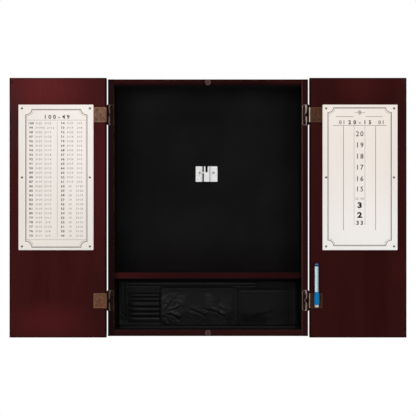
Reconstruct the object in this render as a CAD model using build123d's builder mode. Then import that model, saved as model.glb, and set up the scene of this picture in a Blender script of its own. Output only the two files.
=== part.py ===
from build123d import *
import os

os.makedirs("parts", exist_ok=True)

# A wall-hung dartboard cabinet, in millimetres.
# The origin is the centre of the back face, on the wall. +X is the viewer's right,
# -Y points into the room and +Z is up. The doors are modelled open, flat with the front.
# In what follows, side is +1 for the right half and -1 for the left, and level is
# +1 for the upper one of a pair and -1 for the lower.

# Cabinet box
cabinet_width = 544.0
cabinet_height = 698.0
cabinet_depth = 76.0
board = 17.0  # sides, top, bottom and shelf
edge_break = 0.8  # chamfer along the edges that show
accessory_bay_height = 138.0
shelf_setback = 14.0  # room for the marker behind the closed door
shelf_groove = 4.0
back_thickness = 5.0
back_rabbet = 8.0  # how far the back panel reaches into the boards
back_clearance = 0.5
wall_hole_radius = 2.75
wall_hole_spacing_x = 406.4  # wall studs at 16 inch centres
wall_hole_spacing_z = 300.0

# Screws, all driven in the +Y direction
screw_clearance = 0.1  # between a screw and its hole, all round
leaf_screw_head = 2.9
leaf_screw_sink = 1.6
leaf_screw_shank = 1.4
leaf_screw_length = 12.0
pan_head = 3.0
pan_dome = 1.5
pan_rim = 0.5
pan_shank = 1.4
board_screw_length = 11.0
bracket_screw_head = 3.9
bracket_screw_dome = 2.2
bracket_screw_length = 5.5

# Doors
door_thickness = 16.0
door_overhang = 3.0  # past the cabinet at top and bottom
door_gap = 3.0  # closed door to cabinet front, room for both hinge leaves
meeting_gap = 5.8  # between the closed doors
door_round = 2.5
strike_radius = 5.0
strike_thickness = 2.0
strike_inset = 1.0  # from the door's meeting edge

# Hinges
hinge_inset = 97.0  # cabinet's top or bottom to the centre of a hinge
leaf_thickness = 1.3
barrel_radius = 4.5
barrel_length = 56.0
barrel_stand = 0.2  # barrel to cabinet front
barrel_side_gap = 0.7  # barrel to the door's edge
axis_inset = 1.5  # hinge axis to the cabinet's side face
tip_radius = 2.3
knuckle_fillet = 3.0  # where the door leaf runs into its knuckle
knuckle_gap = 0.25
pin_radius = 1.55
pin_clearance = 0.05
pin_break = 0.4
frame_leaf_width = 14.2
frame_leaf_corner = 5.5
frame_leaf_bevel = 0.5
frame_screw_reach = 9.6  # from the hinge axis
frame_screw_spacing = 31.0
frame_field_width = 6.2
frame_field_height = 18.0
leaf_relief = 0.5  # around the moving middle knuckle
leaf_notch = 4.2  # radius of the notch at mid height, beside the knuckle
leaf_notch_reach = 3.5  # from the hinge axis
field_depth = 0.4  # sunk fields inside the leaves' rims
field_corner = 1.0
door_leaf_width = 39.4  # from the hinge axis
door_leaf_height = 40.0
door_leaf_corner = 2.0
door_leaf_bevel = 0.3
door_leaf_rim = 2.2
door_field_start = 9.0  # from the hinge axis
outer_screw_reach = 31.0
outer_screw_spacing = 24.0
inner_screw_reach = 19.5

# Magnetic catches
catch_radius = 8.2
catch_thickness = 2.7
catch_bevel = 0.5

# Score boards
score_height = 393.4
score_hinge_margin = 34.5  # door's hinge edge to the board
score_free_margin = 25.4  # board to the door's other edge
score_top_margin = 73.2  # door's top to the board
score_thickness = 3.0
score_corner = 1.5
score_screw_inset_x = 9.4
score_screw_inset_z = 9.9

# Dartboard bracket, a pressed hat section with an open notch
bracket_x = -4.0
bracket_drop = 237.4  # top board to the bracket's centre
bracket_width = 61.0
bracket_height = 43.2
bracket_sheet = 1.5
bracket_bend = 1.0
bracket_stand = 9.0  # back of the flanges to the front of the raised part
crown_width = 14.0
crown_slope = 4.0  # how far each side wall leans out
bracket_corner = 1.5
notch_width = 6.2
notch_depth = 17.4
notch_flare = 3.0
gusset_width = 3.6
gusset_reach = 3.2
bracket_screw_reach = 19.3  # bracket centre to screw
bracket_screw_rise = 3.8  # screws and gussets stand above the bracket's centre

# Leatherette accessory pouch
pouch_side_gap = 8.0  # to each side board
pouch_height = 126.0
pouch_lift = 0.8  # above the bottom board
pouch_thickness = 3.0
pocket_wall = 1.4
sleeve_count = 6
sleeve_pitch = 13.6
sleeve_length = 87.0
sleeve_inset = 23.5  # from the pouch's left edge
sleeve_lift = 9.8  # above the pouch's lower edge
sleeve_straight = 2.6
sleeve_wall = 1.2
pocket_gap = 3.0  # between neighbouring pockets
centre_pocket_height = 105.0
centre_pocket_bulge = 12.0
flat_pocket_width = 138.6
flat_pocket_inset = 21.6  # from the pouch's right edge
flat_pocket_height = 100.0
flat_pocket_bulge = 8.0
pocket_lift = 2.0

# Marker
marker_reach = 23.0  # hinge axis to the marker's axis
marker_lift = 3.0  # above the hinge leaf's lower edge
eraser_radius = 5.6
eraser_length = 7.0
eraser_seat = 3.0
cap_radius = 6.2
cap_length = 34.6
cap_flat = 0.8
cap_round = 0.8
magnet_width = 6.0
magnet_height = 20.0
magnet_thickness = 1.0
eraser_round = 0.8
pen_radius = 5.0
pen_length = 75.0
pen_round = 0.6
nose_radius = 4.6
nose_length = 12.0
cone_length = 6.0
cone_tip_radius = 2.3
nib_radius = 1.6
nib_length = 7.0
nib_seat = 3.0
cap_clearance = 0.3
pen_stand = 0.2  # pen shoulder above the cap's mouth
plug_radius = 4.5
plug_length = 3.0
plug_stem_radius = 3.0
plug_stem_length = 4.0
plug_round = 0.8
nib_room = 1.0  # below the nib, inside the cap

# Places that follow from the sizes
front_y = -cabinet_depth
inner_x = cabinet_width / 2 - board
inner_z = cabinet_height / 2 - board
panel_front_y = -back_thickness
shelf_bottom = accessory_bay_height - inner_z
axis_x = cabinet_width / 2 - axis_inset
axis_y = front_y - barrel_radius - barrel_stand
hinge_z = cabinet_height / 2 - hinge_inset
door_face_y = 2 * axis_y - (front_y - door_gap)  # inner face of the open door
leaf_face_y = door_face_y - leaf_thickness
leaf_field_y = leaf_face_y + field_depth
frame_field_y = front_y - leaf_thickness + field_depth
score_face_y = door_face_y - score_thickness
door_start = barrel_radius + barrel_side_gap  # hinge axis to the door's edge
door_width = axis_x - door_start - meeting_gap / 2
door_height = cabinet_height + 2 * door_overhang
score_width = door_width - score_hinge_margin - score_free_margin
score_reach = door_start + score_hinge_margin + score_width / 2  # hinge axis to the board's middle
score_z = door_height / 2 - score_top_margin - score_height / 2
catch_z = (cabinet_height - board) / 2
frame_screw_x = axis_x - frame_screw_reach
bracket_z = inner_z - bracket_drop
bracket_screw_z = bracket_z + bracket_screw_rise
pouch_width = 2 * (inner_x - pouch_side_gap)
pouch_bottom = pouch_lift - inner_z
pouch_face_y = panel_front_y - pouch_thickness


def front_plane(y):
    """The vertical plane at y, facing the room: its x is X and its y is Z."""
    return Plane.XZ.offset(-y)


def save(builder, label):
    """Label a finished piece and write its STEP file."""
    builder.part.label = label
    export_step(builder.part, f"parts/{label}.step")


def side_name(side):
    return "right" if side > 0 else "left"


def level_name(level):
    return "upper" if level > 0 else "lower"


# Screws


def countersunk(grow=0.0):
    """A flat-head screw along +Y with its face at y = 0, or its hole if grown."""
    head = leaf_screw_head + grow
    shank = leaf_screw_shank + grow
    length = leaf_screw_length + grow
    with BuildPart() as screw:
        with BuildSketch():
            Polygon(
                (0, 0),
                (head, 0),
                (shank, leaf_screw_sink),
                (shank, length - shank),
                (0, length),
                align=None,
            )
        revolve(axis=Axis.Y)
    return screw.part


def pan_headed(head, dome, length):
    """A domed screw along +Y whose head rests on the plane y = 0."""
    with BuildPart() as screw:
        with BuildSketch():
            with BuildLine():
                Line((0, length), (0, -dome))
                TangentArc((0, -dome), (head, -pan_rim), tangent=(1, 0))
                Polyline(
                    (head, -pan_rim),
                    (head, 0),
                    (pan_shank, 0),
                    (pan_shank, length - pan_shank),
                    (0, length),
                )
            make_face()
        revolve(axis=Axis.Y)
    return screw.part


def pilot(length):
    """The hole for the shank of a pan-headed screw, from y = 0 inwards."""
    with BuildPart() as hole:
        with BuildSketch(Plane.XZ):
            Circle(pan_shank + screw_clearance)
        extrude(amount=-(length + screw_clearance))
    return hole.part


leaf_screw = countersunk()
leaf_screw_hole = countersunk(screw_clearance)
board_screw = pan_headed(pan_head, pan_dome, board_screw_length)
board_screw_hole = pilot(board_screw_length)
bracket_screw = pan_headed(bracket_screw_head, bracket_screw_dome, bracket_screw_length)
bracket_screw_hole = pilot(bracket_screw_length)


def seats(points, y):
    """Places in space for screws at (x, z) points whose heads sit at y."""
    return [(x, y, z) for x, z in points]


def frame_screw_points(side):
    return [
        (side * frame_screw_x, level * hinge_z + end * frame_screw_spacing / 2)
        for level in (1, -1)
        for end in (1, -1)
    ]


def leaf_screw_points(side):
    outer = side * (axis_x + outer_screw_reach)
    inner = side * (axis_x + inner_screw_reach)
    points = []
    for level in (1, -1):
        middle = level * hinge_z
        points.append((inner, middle))
        points.append((outer, middle + outer_screw_spacing / 2))
        points.append((outer, middle - outer_screw_spacing / 2))
    return points


def score_screw_points(side):
    centre = side * (axis_x + score_reach)
    reach_x = score_width / 2 - score_screw_inset_x
    reach_z = score_height / 2 - score_screw_inset_z
    return [(centre + x * reach_x, score_z + z * reach_z) for x in (1, -1) for z in (1, 0, -1)]


bracket_screw_points = [(bracket_x + side * bracket_screw_reach, bracket_screw_z) for side in (1, -1)]


def screw_group(screw, points, y, label):
    with BuildPart() as group:
        with Locations(*seats(points, y)):
            add(screw)
    save(group, label)


# Cabinet box


def side_panel(side):
    with BuildPart() as panel:
        with BuildSketch(front_plane(0)):
            with Locations((side * (inner_x + board / 2), 0)):
                Rectangle(board, cabinet_height)
        extrude(amount=cabinet_depth)
        chamfer(panel.edges().filter_by(Axis.Z).group_by(Axis.Y)[0], length=edge_break)
        # rabbet for the back panel, stopped at both ends
        with BuildSketch(front_plane(0)):
            with Locations((side * (inner_x + back_rabbet / 2), 0)):
                Rectangle(back_rabbet, 2 * (inner_z + back_rabbet))
        extrude(amount=back_thickness, mode=Mode.SUBTRACT)
        # groove for the shelf, stopped at the shelf's front edge
        with BuildSketch(Plane.XY.offset(shelf_bottom)):
            with Locations((side * (inner_x + shelf_groove / 2), (front_y + shelf_setback + panel_front_y) / 2)):
                Rectangle(shelf_groove, cabinet_depth - shelf_setback - back_thickness)
        extrude(amount=board, mode=Mode.SUBTRACT)
        with Locations(*seats(frame_screw_points(side), frame_field_y)):
            add(leaf_screw_hole, mode=Mode.SUBTRACT)
    save(panel, f"{side_name(side)}_side_panel")


def end_panel(level, label):
    with BuildPart() as panel:
        with BuildSketch(front_plane(0)):
            with Locations((0, level * (inner_z + board / 2))):
                Rectangle(2 * inner_x, board)
        extrude(amount=cabinet_depth)
        chamfer(panel.edges().filter_by(Axis.X).group_by(Axis.Y)[0], length=edge_break)
        with BuildSketch(front_plane(0)):
            with Locations((0, level * (inner_z + back_rabbet / 2))):
                Rectangle(2 * inner_x, back_rabbet)
        extrude(amount=back_thickness, mode=Mode.SUBTRACT)
        with Locations((0, front_y - catch_thickness, level * catch_z)):
            add(leaf_screw_hole, mode=Mode.SUBTRACT)
    save(panel, label)


for side in (1, -1):
    side_panel(side)
end_panel(1, "top_panel")
end_panel(-1, "bottom_panel")

with BuildPart() as shelf:
    with BuildSketch(Plane.XY.offset(shelf_bottom)):
        with Locations((0, (front_y + shelf_setback + panel_front_y) / 2)):
            Rectangle(2 * (inner_x + shelf_groove), cabinet_depth - shelf_setback - back_thickness)
    extrude(amount=board)
    chamfer(shelf.edges().filter_by(Axis.X).group_by(Axis.Y)[0], length=edge_break)
save(shelf, "shelf")

with BuildPart() as back_panel:
    with BuildSketch(front_plane(0)):
        Rectangle(
            2 * (inner_x + back_rabbet - back_clearance),
            2 * (inner_z + back_rabbet - back_clearance),
        )
        with GridLocations(wall_hole_spacing_x, wall_hole_spacing_z, 2, 2):
            Circle(wall_hole_radius, mode=Mode.SUBTRACT)
    extrude(amount=back_thickness)
    with Locations(*seats(bracket_screw_points, panel_front_y - bracket_sheet)):
        add(bracket_screw_hole, mode=Mode.SUBTRACT)
save(back_panel, "back_panel")

# Dartboard bracket

crown_half = crown_width / 2
foot_half = crown_half + crown_slope
bracket_back = bracket_stand - bracket_sheet  # back of the flanges to the back of the crown

with BuildPart() as bracket:
    with BuildSketch(Plane.XY.offset(bracket_z - bracket_height / 2)):
        with BuildLine():
            FilletPolyline(
                (bracket_x - bracket_width / 2, panel_front_y),
                (bracket_x - foot_half, panel_front_y),
                (bracket_x - crown_half, panel_front_y - bracket_back),
                (bracket_x + crown_half, panel_front_y - bracket_back),
                (bracket_x + foot_half, panel_front_y),
                (bracket_x + bracket_width / 2, panel_front_y),
                radius=bracket_bend,
            )
            offset(amount=bracket_sheet, side=Side.RIGHT, closed=True)
        make_face()
    extrude(amount=bracket_height)
    # gussets pressed across the bends, level with the screws
    with BuildSketch(Plane.XY.offset(bracket_screw_z - gusset_width / 2)):
        flange_face = panel_front_y - bracket_sheet
        for side in (1, -1):
            with BuildLine():
                Polyline(
                    (bracket_x + side * (foot_half + gusset_reach), flange_face),
                    (bracket_x + side * foot_half, panel_front_y - bracket_sheet / 2),
                    (bracket_x + side * (crown_half + crown_slope / 2), flange_face - gusset_reach),
                    close=True,
                )
            make_face()
    extrude(amount=gusset_width)
    # notch for the dartboard's hanging screw, open at the top
    with BuildSketch(front_plane(panel_front_y)):
        with Locations((bracket_x, bracket_z + bracket_height / 2 - notch_depth + notch_width / 2)):
            Circle(notch_width / 2)
            Rectangle(notch_width, notch_depth, align=(Align.CENTER, Align.MIN))
    extrude(amount=bracket_stand + bracket_sheet, mode=Mode.SUBTRACT)
    top_corners = bracket.edges().filter_by(Axis.Y).group_by(Axis.Z)[-1]
    fillet(top_corners.sort_by(Axis.X)[1:-1], radius=notch_flare)
    flange_corners = bracket.edges().filter_by(Axis.Y).group_by(Axis.X)
    fillet(flange_corners[0] + flange_corners[-1], radius=bracket_corner)
    with Locations(*seats(bracket_screw_points, panel_front_y - bracket_sheet)):
        add(bracket_screw_hole, mode=Mode.SUBTRACT)
save(bracket, "dartboard_bracket")
screw_group(bracket_screw, bracket_screw_points, panel_front_y - bracket_sheet, "bracket_screws")

# Magnetic catches


def catch(level, label):
    with BuildPart() as magnet:
        with BuildSketch(front_plane(front_y)):
            with Locations((0, level * catch_z)):
                Circle(catch_radius)
        extrude(amount=catch_thickness)
        chamfer(magnet.faces().sort_by(Axis.Y)[0].edges(), length=catch_bevel)
        with Locations((0, front_y - catch_thickness, level * catch_z)):
            add(leaf_screw_hole, mode=Mode.SUBTRACT)
    save(magnet, label)


catch(1, "top_catch")
catch(-1, "bottom_catch")
screw_group(leaf_screw, [(0, catch_z), (0, -catch_z)], front_y - catch_thickness, "catch_screws")

# Accessory pouch

pouch_left = -pouch_width / 2
sleeve_start = pouch_left + sleeve_inset
sleeve_bottom = pouch_bottom + sleeve_lift
flat_pocket_start = pouch_width / 2 - flat_pocket_inset - flat_pocket_width
centre_pocket_start = sleeve_start + sleeve_length + pocket_gap
centre_pocket_width = flat_pocket_start - pocket_gap - centre_pocket_start

with BuildPart() as pouch_backing:
    with BuildSketch(front_plane(panel_front_y)):
        with Locations((0, pouch_bottom + pouch_height / 2)):
            Rectangle(pouch_width, pouch_height)
    extrude(amount=pouch_thickness)
save(pouch_backing, "pouch_backing")


def sleeve_section(width, straight):
    """Side view of one dart sleeve, from the backing outwards, about its centre line."""
    radius = width / 2
    with BuildSketch(mode=Mode.PRIVATE) as section:
        with BuildLine():
            Polyline((0, radius), (0, -radius), (-straight, -radius))
            ThreePointArc((-straight, -radius), (-straight - radius, 0), (-straight, radius))
            Line((-straight, radius), (0, radius))
        make_face()
    return section.sketch


# Horizontal tunnels side by side, each with a round front, open at both ends
sleeve_outside = sleeve_section(sleeve_pitch, sleeve_straight)
sleeve_inside = sleeve_section(sleeve_pitch - 2 * sleeve_wall, sleeve_straight)
sleeve_centres = [(pouch_face_y, sleeve_bottom + (i + 0.5) * sleeve_pitch) for i in range(sleeve_count)]

with BuildPart() as dart_sleeves:
    with BuildSketch(Plane.YZ.offset(sleeve_start)):
        with Locations(*sleeve_centres):
            add(sleeve_outside)
        with Locations(*sleeve_centres):
            add(sleeve_inside, mode=Mode.SUBTRACT)
    extrude(amount=sleeve_length)
save(dart_sleeves, "dart_sleeves")


def pocket(start, width, height, bulge, label):
    """A pocket open at the top, with a bowed front sewn to the backing at its sides."""
    bottom = pouch_bottom + pocket_lift
    middle = start + width / 2
    with BuildPart() as shell:
        with BuildSketch(Plane.XY.offset(bottom)):
            with BuildLine():
                Line((start, pouch_face_y), (start + width, pouch_face_y))
                ThreePointArc(
                    (start, pouch_face_y),
                    (middle, pouch_face_y - bulge),
                    (start + width, pouch_face_y),
                )
            make_face()
        extrude(amount=height)
        seam = width / 2 * pocket_wall / bulge  # sewn strip at each side
        with BuildSketch(Plane.XY.offset(bottom + pocket_wall)):
            with BuildLine():
                Line((start + seam, pouch_face_y), (start + width - seam, pouch_face_y))
                ThreePointArc(
                    (start + seam, pouch_face_y),
                    (middle, pouch_face_y - bulge + pocket_wall),
                    (start + width - seam, pouch_face_y),
                )
            make_face()
        extrude(amount=height, mode=Mode.SUBTRACT)
    save(shell, label)


pocket(centre_pocket_start, centre_pocket_width, centre_pocket_height, centre_pocket_bulge, "centre_pocket")
pocket(flat_pocket_start, flat_pocket_width, flat_pocket_height, flat_pocket_bulge, "flat_pocket")

# Hinges


def on_hinge(side, middle, radius, length):
    """A cylinder on the hinge axis, centred at the height given by middle."""
    with BuildPart() as rod:
        with BuildSketch(Plane.XY.offset(middle - length / 2)):
            with Locations((side * axis_x, axis_y)):
                Circle(radius)
        extrude(amount=length)
    return rod.part


def pin_bore(side, middle):
    return on_hinge(side, middle, pin_radius + pin_clearance, barrel_length)


def frame_leaf(side, level):
    """The fixed leaf, with a bullet-shaped knuckle at each end of the barrel."""
    middle = level * hinge_z
    with BuildPart() as leaf:
        with BuildSketch(front_plane(front_y)) as outline:
            with Locations((side * (axis_x - frame_leaf_width / 2), middle)):
                Rectangle(frame_leaf_width, barrel_length)
            fillet(outline.vertices().group_by(Axis.X)[min(side, 0)], radius=frame_leaf_corner)
        extrude(amount=leaf_thickness)
        chamfer(leaf.faces().sort_by(Axis.Y)[0].edges(), length=frame_leaf_bevel)
        with BuildSketch(front_plane(frame_field_y)):
            with Locations(*frame_screw_points(side)):
                RectangleRounded(frame_field_width, frame_field_height, field_corner)
        extrude(amount=field_depth, mode=Mode.SUBTRACT)
        # relief around the door leaf's knuckle
        with BuildSketch(front_plane(front_y)):
            with Locations((side * axis_x, middle)):
                Rectangle(2 * (barrel_radius + leaf_relief), door_leaf_height + 2 * knuckle_gap)
            with Locations((side * (axis_x - leaf_notch_reach), middle)):
                Circle(leaf_notch)
        extrude(amount=leaf_thickness, mode=Mode.SUBTRACT)
        with BuildSketch(front_plane(axis_y)):
            for end in (1, -1):
                knuckle_end = middle + end * (door_leaf_height / 2 + knuckle_gap)
                barrel_end = middle + end * barrel_length / 2
                with BuildLine():
                    Polyline(
                        (side * (axis_x + tip_radius), barrel_end),
                        (side * axis_x, barrel_end),
                        (side * axis_x, knuckle_end),
                        (side * (axis_x + barrel_radius), knuckle_end),
                    )
                    TangentArc(
                        (side * (axis_x + barrel_radius), knuckle_end),
                        (side * (axis_x + tip_radius), barrel_end),
                        tangent=(0, end),
                    )
                make_face()
        revolve(axis=Axis((side * axis_x, axis_y, 0), (0, 0, 1)))
        add(pin_bore(side, middle), mode=Mode.SUBTRACT)
        with Locations(*seats(frame_screw_points(side), frame_field_y)):
            add(leaf_screw_hole, mode=Mode.SUBTRACT)
    save(leaf, f"{side_name(side)}_{level_name(level)}_frame_leaf")


def door_leaf(side, level):
    """The moving leaf on the door's inner face, with the long middle knuckle."""
    middle = level * hinge_z
    field_width = door_leaf_width - door_leaf_rim - door_field_start
    with BuildPart() as leaf:
        with BuildSketch(front_plane(door_face_y)) as outline:
            with Locations((side * (axis_x + door_leaf_width / 2), middle)):
                Rectangle(door_leaf_width, door_leaf_height)
            fillet(outline.vertices().group_by(Axis.X)[-max(side, 0)], radius=door_leaf_corner)
        extrude(amount=leaf_thickness)
        chamfer(leaf.faces().sort_by(Axis.Y)[0].edges(), length=door_leaf_bevel)
        add(on_hinge(side, middle, barrel_radius, door_leaf_height))
        bends = leaf.edges().filter_by(Axis.Z).filter_by_position(Axis.Y, leaf_face_y, leaf_face_y)
        fillet(bends.sort_by(Axis.X)[min(side, 0)], radius=knuckle_fillet)
        with BuildSketch(front_plane(leaf_field_y)):
            with Locations((side * (axis_x + door_field_start + field_width / 2), middle)):
                RectangleRounded(field_width, door_leaf_height - 2 * door_leaf_rim, field_corner)
        extrude(amount=field_depth, mode=Mode.SUBTRACT)
        add(pin_bore(side, middle), mode=Mode.SUBTRACT)
        with Locations(*seats(leaf_screw_points(side), leaf_field_y)):
            add(leaf_screw_hole, mode=Mode.SUBTRACT)
    save(leaf, f"{side_name(side)}_{level_name(level)}_door_leaf")


def hinge_pin(side, level):
    with BuildPart() as pin:
        add(on_hinge(side, level * hinge_z, pin_radius, barrel_length))
        chamfer(pin.edges().filter_by(GeomType.CIRCLE), length=pin_break)
    save(pin, f"{side_name(side)}_{level_name(level)}_hinge_pin")


for side in (1, -1):
    for level in (1, -1):
        frame_leaf(side, level)
        door_leaf(side, level)
        hinge_pin(side, level)
    screw_group(leaf_screw, frame_screw_points(side), frame_field_y, f"{side_name(side)}_frame_screws")
    screw_group(leaf_screw, leaf_screw_points(side), leaf_field_y, f"{side_name(side)}_leaf_screws")

# Doors


def strike_points(side):
    """Strikes that meet the catches when the door is shut, at the open door's far corners."""
    shut_x = meeting_gap / 2 + strike_inset + strike_radius
    open_x = 2 * axis_x - shut_x
    return [(side * open_x, level * catch_z) for level in (1, -1)]


def door_panel(side):
    with BuildPart() as door:
        with BuildSketch(front_plane(door_face_y)):
            with Locations((side * (axis_x + door_start + door_width / 2), 0)):
                Rectangle(door_width, door_height)
        extrude(amount=-door_thickness)
        fillet(door.faces().sort_by(Axis.Y)[-1].edges(), radius=door_round)
        chamfer(door.faces().sort_by(Axis.Y)[0].edges(), length=edge_break)
        with Locations(*seats(leaf_screw_points(side), leaf_field_y)):
            add(leaf_screw_hole, mode=Mode.SUBTRACT)
        with Locations(*seats(score_screw_points(side), score_face_y)):
            add(board_screw_hole, mode=Mode.SUBTRACT)
        with BuildSketch(front_plane(door_face_y)):
            with Locations(*strike_points(side)):
                Circle(strike_radius)
        extrude(amount=-strike_thickness, mode=Mode.SUBTRACT)
    save(door, f"{side_name(side)}_door_panel")


def door_strikes(side):
    with BuildPart() as strikes:
        with BuildSketch(front_plane(door_face_y)):
            with Locations(*strike_points(side)):
                Circle(strike_radius)
        extrude(amount=-strike_thickness)
    save(strikes, f"{side_name(side)}_door_strikes")


def score_board(side):
    with BuildPart() as plate:
        with BuildSketch(front_plane(door_face_y)):
            with Locations((side * (axis_x + score_reach), score_z)):
                RectangleRounded(score_width, score_height, score_corner)
        extrude(amount=score_thickness)
        with Locations(*seats(score_screw_points(side), score_face_y)):
            add(board_screw_hole, mode=Mode.SUBTRACT)
    save(plate, f"{side_name(side)}_score_board")


for side in (1, -1):
    door_panel(side)
    door_strikes(side)
    score_board(side)
    screw_group(board_screw, score_screw_points(side), score_face_y, f"{side_name(side)}_board_screws")

# Marker, standing over the right door's lower hinge leaf, cap down

marker_x = axis_x + marker_reach
marker_y = leaf_field_y - magnet_thickness - (cap_radius - cap_flat)
cap_bottom = marker_lift + eraser_length - hinge_z - door_leaf_height / 2
cap_top = cap_bottom + cap_length
pen_bottom = cap_top + pen_stand
pen_top = pen_bottom + pen_length
marker_axis = Axis((marker_x, marker_y, 0), (0, 0, 1))
marker_plane = front_plane(marker_y)
nose_bottom = pen_bottom - nose_length
cone_bottom = nose_bottom - cone_length
nib_bottom = cone_bottom + nib_seat - nib_length
bore_bottom = nib_bottom - nib_room


def section(points):
    """Half of the marker's upright section, from (radius, z) points."""
    with BuildSketch(marker_plane) as half:
        Polygon(*[(marker_x + radius, z) for radius, z in points], align=None)
    return half.sketch


with BuildPart() as marker_cap:
    revolve(
        section(
            [
                (0, cap_bottom + eraser_seat),
                (eraser_radius, cap_bottom + eraser_seat),
                (eraser_radius, cap_bottom),
                (cap_radius, cap_bottom),
                (cap_radius, cap_top - cap_round),
                (cap_radius - cap_round, cap_top),
                (nose_radius + cap_clearance, cap_top),
                (nose_radius + cap_clearance, bore_bottom),
                (0, bore_bottom),
            ]
        ),
        axis=marker_axis,
    )
    # flat that the magnet is glued to
    with BuildSketch(front_plane(leaf_field_y)):
        with Locations((marker_x, cap_bottom + cap_length / 2)):
            Rectangle(2 * cap_radius, cap_length)
    extrude(amount=magnet_thickness, mode=Mode.SUBTRACT)
save(marker_cap, "marker_cap")

with BuildPart() as marker_magnet:
    with BuildSketch(front_plane(leaf_field_y)):
        with Locations((marker_x, cap_bottom + cap_length / 2)):
            Rectangle(magnet_width, magnet_height)
    extrude(amount=magnet_thickness)
save(marker_magnet, "marker_magnet")

with BuildPart() as marker_eraser:
    revolve(
        section(
            [
                (0, cap_bottom - eraser_length),
                (eraser_radius - eraser_round, cap_bottom - eraser_length),
                (eraser_radius, cap_bottom - eraser_length + eraser_round),
                (eraser_radius, cap_bottom + eraser_seat),
                (0, cap_bottom + eraser_seat),
            ]
        ),
        axis=marker_axis,
    )
save(marker_eraser, "marker_eraser")

with BuildPart() as marker_barrel:
    revolve(
        section(
            [
                (nib_radius, cone_bottom),
                (cone_tip_radius, cone_bottom),
                (nose_radius, nose_bottom),
                (nose_radius, pen_bottom),
                (pen_radius, pen_bottom),
                (pen_radius, pen_top - pen_round),
                (pen_radius - pen_round, pen_top),
                (plug_stem_radius, pen_top),
                (plug_stem_radius, pen_top - plug_stem_length),
                (0, pen_top - plug_stem_length),
                (0, cone_bottom + nib_seat),
                (nib_radius, cone_bottom + nib_seat),
            ]
        ),
        axis=marker_axis,
    )
save(marker_barrel, "marker_barrel")

with BuildPart() as marker_end_plug:
    revolve(
        section(
            [
                (0, pen_top - plug_stem_length),
                (plug_stem_radius, pen_top - plug_stem_length),
                (plug_stem_radius, pen_top),
                (plug_radius, pen_top),
                (plug_radius, pen_top + plug_length - plug_round),
                (plug_radius - plug_round, pen_top + plug_length),
                (0, pen_top + plug_length),
            ]
        ),
        axis=marker_axis,
    )
save(marker_end_plug, "marker_end_plug")

with BuildPart() as marker_nib:
    revolve(
        section(
            [
                (0, nib_bottom),
                (nib_radius / 2, nib_bottom),
                (nib_radius, nib_bottom + nib_radius / 2),
                (nib_radius, cone_bottom + nib_seat),
                (0, cone_bottom + nib_seat),
            ]
        ),
        axis=marker_axis,
    )
save(marker_nib, "marker_nib")
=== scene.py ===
import math
import random

import bmesh
import bpy
from mathutils import Matrix, Vector
from mathutils.noise import noise as noiseAt


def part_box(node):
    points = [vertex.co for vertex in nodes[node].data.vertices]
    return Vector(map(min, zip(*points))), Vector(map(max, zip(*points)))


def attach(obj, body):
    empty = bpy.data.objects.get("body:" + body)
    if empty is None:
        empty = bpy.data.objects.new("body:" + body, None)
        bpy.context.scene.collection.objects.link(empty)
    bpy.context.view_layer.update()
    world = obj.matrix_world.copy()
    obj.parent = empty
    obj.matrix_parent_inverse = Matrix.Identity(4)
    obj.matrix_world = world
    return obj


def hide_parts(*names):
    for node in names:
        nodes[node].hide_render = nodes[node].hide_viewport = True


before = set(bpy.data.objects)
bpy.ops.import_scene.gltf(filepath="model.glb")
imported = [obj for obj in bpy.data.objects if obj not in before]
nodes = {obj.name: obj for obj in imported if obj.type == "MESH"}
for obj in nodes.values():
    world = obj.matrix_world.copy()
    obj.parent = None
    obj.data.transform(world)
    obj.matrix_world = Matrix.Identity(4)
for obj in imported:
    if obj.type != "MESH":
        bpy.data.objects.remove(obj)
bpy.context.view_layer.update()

mm = 0.001


# Material helpers: every finish is built from nodes on the frame's own coordinates

def linear(red, green, blue):
    # a colour as a screen shows it, 0 to 255, turned into the shader's values
    def bend(value):
        share = value / 255
        return share / 12.92 if share <= 0.04045 else ((share + 0.055) / 1.055) ** 2.4
    return (bend(red), bend(green), bend(blue), 1.0)


def newFinish(name, **values):
    mat = bpy.data.materials.new(name)
    mat.use_nodes = True
    tree = mat.node_tree
    tree.nodes.clear()
    out = tree.nodes.new("ShaderNodeOutputMaterial")
    shader = tree.nodes.new("ShaderNodeBsdfPrincipled")
    tree.links.new(shader.outputs[0], out.inputs["Surface"])
    for socket, value in values.items():
        shader.inputs[socketNames[socket]].default_value = value
    return mat, shader


socketNames = {
    "metallic": "Metallic",
    "roughness": "Roughness",
    "specular": "Specular IOR Level",
    "sheen": "Sheen Weight",
    "sheenRoughness": "Sheen Roughness",
}


def feed(mat, socket, value):
    # a number or colour is set on the socket, an output is linked to it
    if isinstance(value, bpy.types.NodeSocket):
        mat.node_tree.links.new(value, socket)
    else:
        socket.default_value = value


def addNode(mat, kind, inputs=(), **settings):
    made = mat.node_tree.nodes.new("ShaderNode" + kind)
    for name, value in settings.items():
        setattr(made, name, value)
    for key, value in dict(inputs).items():
        feed(mat, made.inputs[key], value)
    return made


def placeIn(mat):
    return addNode(mat, "TexCoord").outputs["Object"]


def stretched(mat, vector, scale, turn=(0, 0, 0)):
    return addNode(mat, "Mapping", {0: vector, "Scale": scale, "Rotation": turn}).outputs[0]


def noise(mat, vector, scale=1.0, detail=3.0, rough=0.55, distortion=0.0):
    made = addNode(mat, "TexNoise", {"Vector": vector, "Scale": scale, "Detail": detail,
                                     "Roughness": rough, "Distortion": distortion})
    return made.outputs[0]


def calc(mat, operation, first, second=0.0):
    return addNode(mat, "Math", {0: first, 1: second}, operation=operation).outputs[0]


def between(mat, value, low, high, start=0.0, end=1.0):
    # value from low to high becomes start to end, and stays there beyond
    made = addNode(mat, "MapRange", {"Value": value, "From Min": low, "From Max": high,
                                     "To Min": start, "To Max": end})
    made.interpolation_type = "SMOOTHSTEP"
    return made.outputs[0]


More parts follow.
